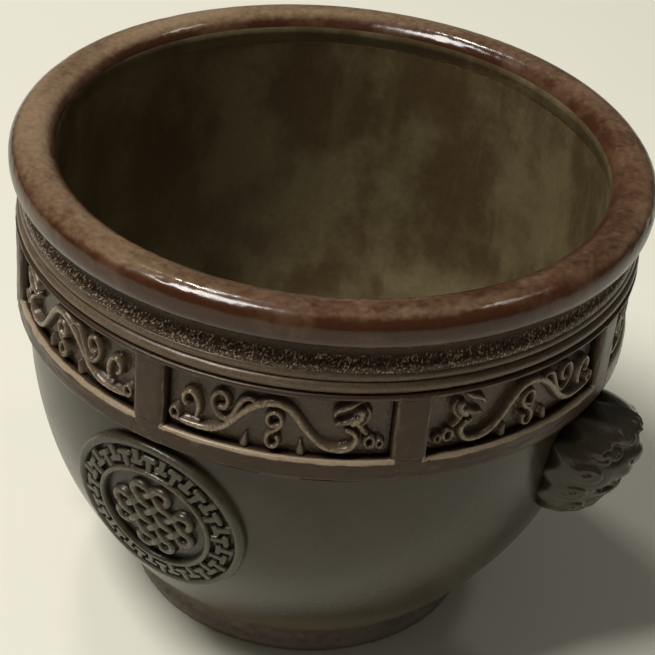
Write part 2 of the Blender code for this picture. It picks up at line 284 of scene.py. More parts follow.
def turned(section: Array, lift: Array, closed: bool = True) -> Array:
    """Turns a section about Z: point = (r cos a, r sin a, z), moved along the section's normal by lift.

    Args:
        section: radius and height, one point per row.
        lift: distance along the normal for every row and column.
        closed: whether the section is a loop.

    Returns:
        Points by row and column.
    """
    angle = circle(lift.shape[1])
    normal = section_normals(section, closed)
    radius = section[:, :1] + normal[:, :1] * lift
    height = section[:, 1:] + normal[:, 1:] * lift
    return np.stack([radius * np.cos(angle), radius * np.sin(angle), height + 0 * angle], -1)


# Skins


def link(name: str, data: bpy.types.ID) -> bpy.types.Object:
    """Adds an object with the given data to the scene.

    Args:
        name: name of the object.
        data: its mesh, light or camera.

    Returns:
        The linked object.
    """
    item = bpy.data.objects.new(name, data)
    bpy.context.scene.collection.objects.link(item)
    return item


def give_inside(item: bpy.types.Object, finish: Material, faces: Array) -> None:
    """Gives the chosen faces of a piece the finish of the bowl's inside."""
    item.data.materials.append(finish)
    item.data.polygons.foreach_set("material_index", faces.astype(np.int32))


@dataclass
class Skin:
    """A closed surface as whole arrays.

    Attributes:
        points: corners of the faces.
        quads: four-sided faces.
        triangles: three-sided faces.
        relief: for every point 0 in the ground of the carving and 1 on its crests; on some pieces it also
            carries painted light and shade.
    """

    points: Array
    quads: Array
    triangles: Array
    relief: Array

    @classmethod
    def from_grid(cls, points: Array, relief: Array, closing: Closing, flip: bool = False) -> "Skin":
        """Closes a grid whose columns run round.

        Args:
            points: points by row and column.
            relief: relief by row and column.
            closing: how the rows end.
            flip: whether the faces are turned over.

        Returns:
            The closed skin.
        """
        rows, columns = points.shape[:2]
        row = np.arange(rows if closing is Closing.LOOP else rows - 1)[:, None] * columns
        above = (row + columns) % (rows * columns)
        column = np.arange(columns)
        beside = (column + 1) % columns
        quads = np.stack([row + column, row + beside, above + beside, above + column], -1).reshape(-1, 4)
        flat = points.reshape(-1, 3)
        shade = relief.reshape(-1)
        triangles = np.zeros((0, 3), int)
        if closing is Closing.POLES:
            first, last = len(flat), len(flat) + 1
            end = (rows - 1) * columns
            low = np.stack([beside, column, np.full(columns, first)], -1)
            high = np.stack([end + column, end + beside, np.full(columns, last)], -1)
            triangles = np.vstack([low, high])
            flat = np.vstack([flat, points[0].mean(0), points[-1].mean(0)])
            shade = np.append(shade, [relief[0].mean(), relief[-1].mean()])
        if flip:
            quads, triangles = quads[:, ::-1], triangles[:, ::-1]
        return cls(flat, quads, triangles, shade)

    def to_object(self, name: str, node: str, slot: Slot, material: Material) -> bpy.types.Object:
        """Makes the object that stands for one solid of the frame.

        Args:
            name: name of the new object.
            node: solid that it replaces.
            slot: material slot of the part; not used.
            material: finish of the skin.

        Returns:
            The linked object.
        """
        mesh = bpy.data.meshes.new(name)
        loops = np.concatenate([self.quads.ravel(), self.triangles.ravel()])
        sizes = np.concatenate([np.full(len(self.quads), 4), np.full(len(self.triangles), 3)])
        mesh.vertices.add(len(self.points))
        mesh.vertices.foreach_set("co", self.points.astype(np.float32).ravel())
        mesh.loops.add(len(loops))
        mesh.loops.foreach_set("vertex_index", loops.astype(np.int32))
        mesh.polygons.add(len(sizes))
        mesh.polygons.foreach_set("loop_start", (np.cumsum(sizes) - sizes).astype(np.int32))
        mesh.polygons.foreach_set("loop_total", sizes.astype(np.int32))
        mesh.update(calc_edges=True)
        mesh.shade_smooth()
        layer = mesh.attributes.new(RELIEF, "FLOAT", "POINT")
        layer.data.foreach_set("value", self.relief.astype(np.float32))
        mesh.materials.append(material)
        item = link(name, mesh)
        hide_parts(node)
        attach(item, "root")
        LOG.info("%s: %d points, %d faces", name, len(self.points), len(sizes))
        return item


# Finishes

# Sockets of a Mix node that mixes colours
MIX_SHARE, MIX_FIRST, MIX_SECOND, MIX_RESULT = 0, 6, 7, 2


class Graph:
    """Adds and links the shader nodes of one material."""

    def __init__(self, name: str) -> None:
        """Starts a material with its Principled shader.

        Args:
            name: name of the material.
        """
        self.material = bpy.data.materials.new(name)
        self.material.use_nodes = True
        self.tree = self.material.node_tree
        self.shader = self.tree.nodes["Principled BSDF"]
        self.coords = self.tree.nodes.new("ShaderNodeTexCoord").outputs["Object"]

    def fill(self, node: bpy.types.Node, inputs: dict[str | int, object]) -> None:
        """Links inputs of a node to other nodes' outputs, or writes constants into them.

        Args:
            node: node to fill.
            inputs: outputs, numbers, vectors or colours by the name or number of the input.
        """
        for key, value in inputs.items():
            socket = node.inputs[key]
            if isinstance(value, Socket):
                self.tree.links.new(value, socket)
            elif socket.type == "RGBA":
                socket.default_value = (*value, 1.0)
            else:
                socket.default_value = value

    def add(self, kind: str, inputs: dict[str | int, object], **choices: str) -> bpy.types.Node:
        """Adds a node.

        Args:
            kind: type of the node, without its usual prefix.
            inputs: what fills its inputs.
            choices: settings of the node, such as its operation.

        Returns:
            The new node.
        """
        node = self.tree.nodes.new("ShaderNode" + kind)
        for key, choice in choices.items():
            setattr(node, key, choice)
        self.fill(node, inputs)
        return node

    def noise(self, scale: float, detail: float, roughness: float, stretch: float = 1.0) -> Socket:
        """Noise over the object's own coordinates.

        Args:
            scale: cells per metre.
            detail: octaves.
            roughness: weight of the finer octaves.
            stretch: how much longer the cells are up the object than across.

        Returns:
            The factor's socket.
        """
        vector = self.coords
        if stretch != 1.0:
            mapping = self.add("Mapping", {"Vector": vector, "Scale": (1.0, 1.0, 1.0 / stretch)})
            vector = mapping.outputs["Vector"]
        inputs = {"Vector": vector, "Scale": scale, "Detail": detail, "Roughness": roughness}
        return self.add("TexNoise", inputs).outputs["Fac"]

    def math(self, operation: str, *values: object) -> Socket:
        """One arithmetic step on sockets and numbers."""
        return self.add("Math", dict(enumerate(values)), operation=operation).outputs[0]

    def span(self, value: Socket, start: Point, goal: Point = (0.0, 1.0)) -> Socket:
        """Maps a range by a smooth step onto another one and clips it.

        Args:
            value: socket to map.
            start: ends of the first range.
            goal: ends of the second range.

        Returns:
            The result's socket.
        """
        ends = dict(zip(("From Min", "From Max", "To Min", "To Max"), start + goal))
        node = self.add("MapRange", {"Value": value, **ends}, interpolation_type="SMOOTHSTEP")
        return node.outputs["Result"]

    def mix(self, share: Socket, first: Socket | Colour, second: Socket | Colour) -> Socket:
        """Mixes two colours: share 0 gives the first one."""
        inputs = {MIX_SHARE: share, MIX_FIRST: first, MIX_SECOND: second}
        return self.add("Mix", inputs, data_type="RGBA").outputs[MIX_RESULT]


@dataclass(frozen=True)
class Patina:
    """Patinated bronze: dark in the ground of the relief, worn bright on its crests, mottled all over.

    Attributes:
        name: name of the material.
        ground: colour of the hollows.
        middle: colour of plain surfaces.
        crest: colour of worn crests.
        bloom: second colour of the mottling.
        mottle_scale: cells of the mottling per metre.
        grain_scale: cells of the fine grain per metre.
        grain_depth: depth of the fine grain in metres.
        specular: level of the waxed surface's reflection.
        roughness: middle roughness.
        metallic: share of metal.
        bloom_share: how far the mottling turns to the second colour.
        mottle_range: noise values between which the mottling turns.
        stretch: how much longer the mottles are up the object than across.
        grain_shade: how much the grain darkens and lightens the colour.
        speckle: how far the grain breaks up the wear.
        streak_share: strength of pale drip marks that run down the object.
        hollow_range: wear between which the ground's colour ends.
        crest_range: wear between which the crests' colour starts.
        grain_range: noise values over which the grain shades.
        duller: how far roughness goes down and up with the mottling.
        dull_range: noise values over which it does.
        polish: how much rougher the ground and smoother the crests are.
        polish_range: wear between which that turns.
        drip_range: noise values between which drip marks start.
        mottle_bump: height of the mottling over that of the grain.
    """

    name: str
    ground: Colour
    middle: Colour
    crest: Colour
    bloom: Colour
    mottle_scale: float
    grain_scale: float
    grain_depth: float
    specular: float
    roughness: float
    metallic: float = 0.0
    bloom_share: float = 0.8
    mottle_range: Point = (0.4, 0.64)
    stretch: float = 1.0
    grain_shade: float = 0.1
    speckle: float = 0.15
    streak_share: float = 0.0
    hollow_range: Point = (0.05, 0.45)
    crest_range: Point = (0.60, 1.05)
    grain_range: Point = (0.25, 0.75)
    duller: Point = (0.07, 0.08)
    dull_range: Point = (0.3, 0.7)
    polish: float = 0.06
    polish_range: Point = (0.4, 1.0)
    drip_range: Point = (0.54, 0.70)
    mottle_bump: float = 0.6

    def material(self) -> Material:
        """Builds the node material.

        Returns:
            The new material.
        """
        graph = Graph(self.name)
        mottle = graph.noise(self.mottle_scale, detail=6.0, roughness=0.6, stretch=self.stretch)
        grain = graph.noise(self.grain_scale, detail=4.0, roughness=0.6)
        relief = graph.add("Attribute", {}, attribute_name=RELIEF).outputs["Fac"]
        worn = graph.math("ADD", relief, graph.math("MULTIPLY_ADD", grain, self.speckle, -self.speckle / 2))
        mottled = graph.span(mottle, self.mottle_range, (0.0, self.bloom_share))
        plain = graph.mix(mottled, self.middle, self.bloom)
        if self.streak_share:
            runs = graph.noise(scale=300.0, detail=3.0, roughness=0.5, stretch=5.0)
            plain = graph.mix(graph.span(runs, self.drip_range, (0.0, self.streak_share)), plain, self.crest)
        hollow = graph.mix(graph.span(worn, self.hollow_range), self.ground, plain)
        high = graph.mix(graph.span(worn, self.crest_range), hollow, self.crest)
        shade = graph.span(grain, self.grain_range, (1.0 - self.grain_shade, 1.0 + self.grain_shade))
        colour = graph.add("VectorMath", {0: high, "Scale": shade}, operation="SCALE").outputs[0]
        ends = (self.roughness - self.duller[0], self.roughness + self.duller[1])
        polish = graph.span(worn, self.polish_range, (self.polish, -self.polish))
        rough = graph.math("ADD", graph.span(mottle, self.dull_range, ends), polish)
        height = graph.math("ADD", grain, graph.math("MULTIPLY", mottle, self.mottle_bump))
        bump = graph.add("Bump", {"Height": height, "Strength": 1.0, "Distance": self.grain_depth})
        inputs = {
            "Base Color": colour,
            "Roughness": rough,
            "Metallic": self.metallic,
            "Specular IOR Level": self.specular,
            "Normal": bump.outputs["Normal"],
        }
        graph.fill(graph.shader, inputs)
        return graph.material


BODY = Patina(
    "body_patina",
    ground=(0.008, 0.006, 0.004),
    middle=(0.034, 0.0255, 0.0135),
    crest=(0.15, 0.12, 0.08),
    bloom=(0.049, 0.0385, 0.021),
    mottle_scale=55.0,
    grain_scale=1800.0,
    grain_depth=0.000015,
    specular=0.36,
    roughness=0.2,
)
INSIDE = Patina(
    "inside_patina",
    ground=(0.016, 0.011, 0.006),
    middle=(0.080, 0.054, 0.025),
    crest=(0.23, 0.185, 0.095),
    bloom=(0.152, 0.121, 0.060),
    mottle_scale=70.0,
    grain_scale=1200.0,
    grain_depth=0.00001,
    specular=0.4,
    roughness=0.34,
    bloom_share=1.0,
    mottle_range=(0.39, 0.63),
    stretch=1.2,
    speckle=0.1,
    streak_share=0.16,
)
RIM = Patina(
    "rim_patina",
    ground=(0.01, 0.004, 0.002),
    middle=(0.042, 0.013, 0.004),
    crest=(0.235, 0.16, 0.095),
    bloom=(0.095, 0.047, 0.022),
    mottle_scale=110.0,
    grain_scale=1500.0,
    grain_depth=0.000006,
    specular=0.40,
    roughness=0.18,
    mottle_range=(0.44, 0.62),
    grain_shade=0.08,
    speckle=0.12,
)
FRIEZE = Patina(
    "frieze_patina",
    ground=(0.008, 0.005, 0.003),
    middle=(0.048, 0.026, 0.013),
    crest=(0.31, 0.24, 0.165),
    bloom=(0.036, 0.02, 0.01),
    mottle_scale=120.0,
    grain_scale=3600.0,
    grain_depth=0.00002,
    specular=0.24,
    roughness=0.28,
    metallic=0.05,
    grain_shade=0.15,
    speckle=0.08,
)
CARVING = Patina(
    "carving_patina",
    ground=(0.054, 0.033, 0.018),
    middle=(0.105, 0.072, 0.045),
    crest=(0.29, 0.222, 0.15),
    bloom=(0.082, 0.056, 0.035),
    mottle_scale=200.0,
    grain_scale=2400.0,
    grain_depth=0.000012,
    specular=0.42,
    roughness=0.27,
    metallic=0.12,
    grain_shade=0.15,
    speckle=0.25,
)
MEDAL = Patina(
    "medal_patina",
    ground=(0.01, 0.008, 0.005),
    middle=(0.046, 0.036, 0.021),
    crest=(0.185, 0.143, 0.097),
    bloom=(0.056, 0.046, 0.028),
    mottle_scale=200.0,
    grain_scale=2400.0,
    grain_depth=0.000015,
    specular=0.42,
    roughness=0.25,
    metallic=0.1,
    grain_shade=0.15,
    speckle=0.25,
)
# Much paler than the body's bronze: the foot ring's patina is lightened to paint the table's reflection into
# its shade.
FOOT = Patina(
    "foot_patina_painted_reflection",
    ground=(0.110, 0.085, 0.065),
    middle=(0.215, 0.165, 0.128),
    crest=(0.34, 0.28, 0.22),
    bloom=(0.180, 0.138, 0.108),
    mottle_scale=120.0,
    grain_scale=1800.0,
    grain_depth=0.00001,
    specular=0.4,
    roughness=0.34,
)


# Turned pieces


@dataclass(frozen=True)
class Cup:
    """The cast cup: floor, curved wall, shelf and the sleeve that carries the rings.

    Attributes:
        body_height: height of the shelf over the base.
        belly_drop: height of the straight part below the shelf.
        belly_power: power of the outer curve.
        base_radius: outer radius at the foot.
        base_rise: height of the base over the spigot's underside.
        spigot_radius: radius of the spigot in the foot.
        shelf_width: width of the shelf that the band stands on.
        sleeve_wall: thickness of the sleeve.
        floor_rise: height of the floor over the base.
        floor_radius: radius of the flat floor.
        bore_power: power of the inner curve.
        bore_crowding: how far the bore's rows crowd towards the floor.
        edge: easing of the corners.
        under_pole: radius where the rows of the underside start.
        floor_pole: radius where the rows of the floor end.
        wall_rows: points up the wall.
        neck_rows: points down the straight bore.
        bore_rows: points down the curved bore.
        floor_rows: points over the floor.
        columns: points round the axis.
        swell: unevenness of the casting.
        wear: relief of the wall.
        under_darkening: relief of the underside.
        reflection_z: height under which the wall is painted paler, as a painted reflection of the table.
        reflection_fade: half the height over which that starts.
        reflection_lift: relief that the painted reflection adds.
    """

    body_height: float = 0.0418
    belly_drop: float = 0.0031
    belly_power: float = 2.2
    base_radius: float = 0.0266
    base_rise: float = 0.0012
    spigot_radius: float = 0.0215
    shelf_width: float = 0.00125
    sleeve_wall: float = 0.0022
    floor_rise: float = 0.0032
    floor_radius: float = 0.0200
    bore_power: float = 3.0
    bore_crowding: float = 1.4
    edge: float = 0.0006
    under_pole: float = 0.002
    floor_pole: float = 0.001
    wall_rows: int = 70
    neck_rows: int = 24
    bore_rows: int = 80
    floor_rows: int = 16
    columns: int = 360
    swell: Swell = Swell(depth=0.00006, waves=14, rise=5.0, seed=3)
    wear: float = 0.55
    under_darkening: float = 0.25
    reflection_z: float = 0.012
    reflection_fade: float = 0.007
    reflection_lift: float = 0.42

    @property
    def base_z(self) -> float:
        """Height of the base."""
        return float(box_of("bowl_cup")[0][2]) + self.base_rise

    @property
    def shelf_z(self) -> float:
        """Height of the shelf."""
        return self.base_z + self.body_height

    @property
    def belly_z(self) -> float:
        """Height where the outer curve starts."""
        return self.shelf_z - self.belly_drop

    @property
    def belly_radius(self) -> float:
        """Greatest outer radius."""
        return float(box_of("bowl_cup")[1][0])

    def body_radius(self, z: Array) -> Array:
        """Outer radius at given heights: full at the belly, drawn in to the base by a power curve."""
        share = np.clip((self.belly_z - z) / (self.belly_z - self.base_z), 0.0, 1.0)
        return self.belly_radius - (self.belly_radius - self.base_radius) * share ** self.belly_power

    def body_slope(self, z: Array) -> Array:
        """Change of the outer radius with height."""
        return (self.body_radius(z + SLOPE_STEP) - self.body_radius(z - SLOPE_STEP)) / (2 * SLOPE_STEP)

    def on_body(self, across: Array, up: Array, proud: Array, azimuth: float, middle: float) -> Array:
        """Lays points on the belly: across along its girth, up along its wall, proud along its normal.

        Args:
            across: distances round the belly.
            up: distances up the wall.
            proud: heights over the wall.
            azimuth: angle of the middle about Z.
            middle: height of the middle.

        Returns:
            Points, with the shape of the arguments.
        """
        z = middle + up / math.hypot(1.0, float(self.body_slope(np.array(middle))))
        slope = self.body_slope(z)
        length = np.hypot(1.0, slope)
        radius = self.body_radius(z) + proud / length
        angle = azimuth + across / float(self.body_radius(np.array(middle)))
        return np.stack([radius * np.cos(angle), radius * np.sin(angle), z - proud * slope / length], -1)

    def section(self) -> tuple[Array, int, int]:
        """Half section from the middle of the underside, up the wall and down the bore to the floor.

        Returns:
            Radius and height, one point per row, and the rows where the wall and the bore start.
        """
        low, high = box_of("bowl_cup")
        sleeve = self.belly_radius - self.shelf_width
        bore = sleeve - self.sleeve_wall
        floor = self.base_z + self.floor_rise
        turn = np.linspace(0.0, math.pi / 2, EASE_POINTS)
        under = [[self.under_pole, low[2]], [self.spigot_radius, low[2]], [self.spigot_radius, self.base_z]]
        heel_r = self.base_radius - self.edge * (1 - np.sin(turn))
        heel_z = self.base_z + self.edge * (1 - np.cos(turn))
        rise = np.linspace(0.0, 1.0, self.wall_rows)
        wall_z = self.base_z + self.edge + (self.shelf_z - self.base_z - 2 * self.edge) * rise
        shoulder_r = self.belly_radius - self.edge * (1 - np.cos(turn))
        shoulder_z = self.shelf_z - self.edge * (1 - np.sin(turn))
        upper = [[sleeve, self.shelf_z], [sleeve, high[2]], [bore, high[2]]]
        neck = [[bore, z] for z in np.linspace(high[2], self.belly_z, self.neck_rows)[1:-1]]
        fall = np.linspace(1.0, 0.0, self.bore_rows)
        bore_z = floor + (self.belly_z - floor) * fall ** self.bore_crowding
        drop = np.clip((self.belly_z - bore_z) / (self.belly_z - floor), 0.0, 1.0)
        bore_r = bore - (bore - self.floor_radius) * drop ** self.bore_power
        flat = [[r, floor] for r in np.linspace(self.floor_radius, self.floor_pole, self.floor_rows)[1:]]
        below = np.vstack([under, np.stack([heel_r, heel_z], -1)])
        wall = np.stack([self.body_radius(wall_z), wall_z], -1)
        outer = np.vstack([below, wall, np.stack([shoulder_r, shoulder_z], -1), upper])
        section = np.vstack([outer, neck, np.stack([bore_r, bore_z], -1), flat])
        return section, len(below), len(outer) - 1

    def build(self, outside: Material, inside: Material) -> None:
        """Turns the cup and gives its inner faces their own finish.

        Args:
            outside: finish of the outer side.
            inside: finish of the bore and the floor.
        """
        section, wall_row, bore_row = self.section()
        points = turned(section, self.swell.field(len(section), self.columns), closed=False)
        # Painted reflection of the table: the wall is made paler towards the foot.
        reflected = smooth(self.reflection_z + self.reflection_fade, self.reflection_z - self.reflection_fade, section[:, 1:])
        relief = np.full(points.shape[:2], self.wear) + self.reflection_lift * reflected
        relief[:wall_row] = self.under_darkening
        skin = Skin.from_grid(points, relief, Closing.POLES)
        item = skin.to_object("cup", "bowl_cup", Slot.BODY, outside)
        inner = np.zeros(len(item.data.polygons), bool)
        inner[bore_row * self.columns : len(skin.quads)] = True
        inner[-self.columns :] = True
        give_inside(item, inside, inner)


@dataclass(frozen=True)
class PlainRing:
    """A turned ring with a grainy cast surface.

    Attributes:
        node: solid that it replaces.
        slot: material slot.
        corners: section as radius over the bore, height over the foot of the ring, and easing.
        bore: inner radius.
        step: distance of points along the section.
        columns: points round the axis.
        grain: cast grain.
        swell: unevenness of the casting.
        wear: relief of the plain surface.
        zone: height shares where a second wear starts and is full.
        zone_wear: relief that it adds.
        zone_grit_glint: how far the grain shows in it, as grit and as painted glints.
    """

    node: str
    slot: Slot
    corners: tuple[Triple, ...]
    bore: float
    step: float
    columns: int
    grain: Grain
    swell: Swell
    wear: float
    zone: Point = (0.0, 1.0)
    zone_wear: float = 0.0
    zone_grit_glint: float = 0.0

    def build(self, material: Material) -> None:
        """Turns the ring. Its bore stays plain, and its foot stays level.

        Args:
            material: finish.
        """
        low, high = box_of(self.node)
        section = rounded([(self.bore + r, low[2] + z, ease) for r, z, ease in self.corners], self.step)
        foot = section[:, 1].min()
        ends = np.isin(section[:, 1], (foot, section[:, 1].max()))
        section = section[ends | (section[:, 0] > self.bore + HAIR)]
        grain = self.grain.field(len(section), self.columns)
        lift = self.grain.depth * grain + self.swell.field(len(section), self.columns)
        points = turned(section, np.where(section[:, :1] > self.bore + HAIR, lift, 0.0))
        points[..., 2] = np.maximum(points[..., 2], foot)
        share = (section[:, 1:] - low[2]) / (high[2] - low[2])
        zone = smooth(*self.zone, share)
        # On the collar's shoulder the grain's pale dots are painted glints as well as grit.
        relief = self.wear + self.grain.wear * grain + zone * (self.zone_wear + self.zone_grit_glint * grain)
        skin = Skin.from_grid(points, relief, Closing.LOOP)
        skin.to_object(self.node + "_skin", self.node, self.slot, material)


RING_BORE = 0.0405
LOWER_BEAD = PlainRing(
    "lower_bead",
    Slot.FRIEZE,
    corners=(
        (0.0, -0.0003, 0.0),
        (0.0021, -0.0003, 0.0003),
        (0.0026, 0.0003, 0.00034),
        (0.0026, 0.0010, 0.00034),
        (0.0021, 0.0014, 0.00028),
        (0.0, 0.0014, 0.0),
    ),
    bore=RING_BORE,
    step=0.00016,
    columns=640,
    grain=Grain(depth=0.000003, wear=0.01, blur=3, seed=31),
    swell=Swell(depth=0.000008, waves=10, rise=2.0, seed=31),
    wear=0.74,
)
UPPER_BEAD = PlainRing(
    "upper_bead",
    Slot.FRIEZE,
    corners=(
        (0.0, -0.0002, 0.0),
        (0.0020, -0.0002, 0.0002),
        (0.00225, 0.0002, 0.00024),
        (0.00225, 0.0007, 0.00024),
        (0.0020, 0.0010, 0.0001),
        (0.0, 0.0010, 0.0),
    ),
    bore=RING_BORE,
    step=0.00016,
    columns=640,
    grain=Grain(depth=0.000003, wear=0.01, blur=3, seed=32),
    swell=Swell(depth=0.000008, waves=10, rise=2.0, seed=32),
    wear=0.74,
)
# A gritty shoulder under a smooth neck; the shoulder's pale grains are partly painted glints
COLLAR = PlainRing(
    "neck_collar",
    Slot.FRIEZE,
    corners=(
        (0.0, -0.0003, 0.0),
        (0.0020, -0.0003, 0.0002),
        (0.0020, 0.0006, 0.0004),
        (0.0013, 0.0015, 0.0006),
        (0.0009, 0.0028, 0.0006),
        (0.0009, 0.0042, 0.0),
        (0.0, 0.0042, 0.0),
    ),
    bore=RING_BORE,
    step=0.00013,
    columns=1800,
    grain=Grain(depth=0.000014, wear=0.03, blur=0, seed=33),
    swell=Swell(depth=0.000008, waves=10, rise=2.0, seed=33),
    wear=0.42,
    zone=(0.62, 0.40),
    zone_wear=0.10,
    zone_grit_glint=0.37,
)
# Dark at the top, rubbed along its lower edge
FOOT_RING = PlainRing(
    "foot_ring",
    Slot.FOOT,
    corners=(
        (0.0, 0.0, 0.0003),
        (0.0044, 0.0, 0.0004),
        (0.0044, 0.0009, 0.0004),
        (0.0037, 0.0022, 0.0005),
        (0.0037, 0.0043, 0.0),
        (0.0, 0.0043, 0.0),
    ),
    bore=0.0218,
    step=0.00025,
    columns=540,
    grain=Grain(depth=0.00002, wear=0.08, blur=2, seed=34),
    swell=Swell(depth=0.00005, waves=10, rise=2.0, seed=34),
    wear=0.30,
    zone=(0.5, 0.1),
    zone_wear=0.25,
)


@dataclass(frozen=True)
class Rim:
    """The heavy rounded rim, flat underneath, with small knocks, a worn top that is painted paler on its lit
    side, and a painted shade on its lower side.

    Attributes:
        half_width: half width of its oval section.
        half_height: half height of its oval section.
        bore: inner radius of the sleeve under it.
        seat_drop: depth of the flat seat under the section's middle.
        square: power of the oval's outer half, 2 for an ellipse.
        inner_turn: angle round the section where the inner face starts.
        columns: points round the axis.
        rows: points round the section.
        seat_rows: points over the seat, with both ends.
        swell: unevenness of the casting.
        grain: cast grain.
        knocks: how many small dents.
        knock_depth: depth of the dents.
        knock_reach: reach of a dent round the axis and round the section.
        knock_sizes: least and greatest size of a dent.
        knock_rows: shares of the section between which they lie.
        knock_seed: seed of the dents.
        wear: relief of the outer face.
        patches: unevenness of the wear.
        lit_side: angle about Z of the side whose top gets a painted light.
        top_wear_and_side_light: relief that wear adds to the top, and the painted light that the lit side
            adds to that.
        top_wear_and_side_light: relief that the top adds, and what handling adds to that.
        top_zone: height shares between which the top's wear starts.
        under_darkening: painted shade, relief that the lower side takes away.
        under_shade_zone: height shares between which that starts.
        inner_wear: relief of the inner face.
    """

    half_width: float = 0.0032
    half_height: float = 0.0027
    bore: float = 0.0380
    seat_drop: float = 0.0019
    square: float = 2.45
    inner_turn: float = 2.75
    columns: int = 900
    rows: int = 72
    seat_rows: int = 8
    swell: Swell = Swell(depth=0.00004, waves=16, rise=3.0, seed=5)
    grain: Grain = Grain(depth=0.000006, wear=0.02, blur=2, seed=7)
    knocks: int = 60
    knock_depth: float = 0.00006
    knock_reach: Point = (0.0011, 0.0005)
    knock_sizes: Point = (0.4, 1.2)
    knock_rows: Point = (0.15, 0.75)
    knock_seed: int = 11
    wear: float = 0.42
    patches: Swell = Swell(depth=0.09, waves=20, rise=4.0, seed=9)
    lit_side: float = 3.0
    top_wear_and_side_light: Point = (0.27, 0.22)
    top_zone: Point = (0.30, 0.98)
    under_darkening: float = 0.12
    under_shade_zone: Point = (-0.4, -0.9)
    inner_wear: float = 0.55

    def section(self, middle: Array) -> tuple[Array, Array]:
        """Oval section: square outside, round inside, flush with the bore below, and flat underneath.

        Args:
            middle: radius and height of the oval's middle.

        Returns:
            Radius and height, one point per row, and whether the row starts a stretch of the inner face.
        """
        start = -math.asin((self.seat_drop / self.half_height) ** (self.square / 2))
        end = math.pi + math.asin(self.seat_drop / self.half_height)
        turn = np.linspace(start, end, self.rows)
        ways = np.stack([np.cos(turn), np.sin(turn)], -1)
        power = np.where(turn < math.pi / 2, 2 / self.square, 1.0)[:, None]
        oval = np.sign(ways) * np.abs(ways) ** power
        flush = (middle[0] - self.bore) / self.half_width
        sunk = np.clip(-oval[:, 1] * self.half_height / self.seat_drop, 0.0, 1.0)
        oval[:, 0] = np.where(turn > math.pi, -1 + (1 - flush) * sunk, oval[:, 0])
        section = middle + oval * (self.half_width, self.half_height)
        seat = np.linspace(section[-1], section[0], self.seat_rows)[1:-1]
        inner = np.append(turn > self.inner_turn, np.zeros(len(seat), bool))
        return np.vstack([section, seat]), inner

    def knocked(self, lift: Array, radius: float) -> Array:
        """Small knocks: each lowers the surface by a bell curve of its distance along both ways.

        Args:
            lift: heights over the section, by row and column.
            radius: radius of the section's middle.

        Returns:
            Heights with every knock.
        """
        random = np.random.default_rng(self.knock_seed)
        angle = circle(self.columns)[None]
        along = np.linspace(0.0, 1.0, len(lift))[:, None]
        wide, tall = self.knock_reach
        for _ in range(self.knocks):
            at = random.uniform(0, 2 * math.pi)
            row = random.uniform(*self.knock_rows)
            size = random.uniform(*self.knock_sizes)
            turn_off = np.angle(np.exp(1j * (angle - at))) * radius
            row_off = (along - row) * 2 * math.pi * self.half_width
            reach = turn_off ** 2 / (wide * size) ** 2 + row_off ** 2 / (tall * size) ** 2
            lift = lift - self.knock_depth * size * np.exp(-reach)
        return lift

    def build(self, outside: Material, inside: Material) -> None:
        """Turns the rim and gives its inner face the finish of the bore.

        Args:
            outside: finish of the top and the outer face.
            inside: finish of the inner face.
        """
        high = box_of("rim_ring")[1]
        middle = np.array([high[0] - self.half_width, high[2] - self.half_height])
        section, inner = self.section(middle)
        rows = len(section)
        grain = self.grain.field(rows, self.columns)
        lift = self.knocked(self.swell.field(rows, self.columns), middle[0]) + self.grain.depth * grain
        points = turned(section, lift)
        up = (section[:, 1:] - middle[1]) / self.half_height
        # Painted light: the top is made paler towards the lit side, over and above its wear.
        lit_share = 0.5 + 0.5 * np.cos(circle(self.columns)[None] - self.lit_side)
        top = self.top_wear_and_side_light[0] + self.top_wear_and_side_light[1] * lit_share
        relief = self.wear + top * smooth(*self.top_zone, up) + self.patches.field(rows, self.columns)
        # Painted shade: the lower side of the rim is darkened.
        relief = relief + self.grain.wear * grain - self.under_darkening * smooth(*self.under_shade_zone, up)
        relief = np.where(inner[:, None], self.inner_wear, relief)
        item = Skin.from_grid(points, relief, Closing.LOOP).to_object("rim", "rim_ring", Slot.RIM, outside)
        give_inside(item, inside, np.repeat(inner, self.columns))


# Frieze


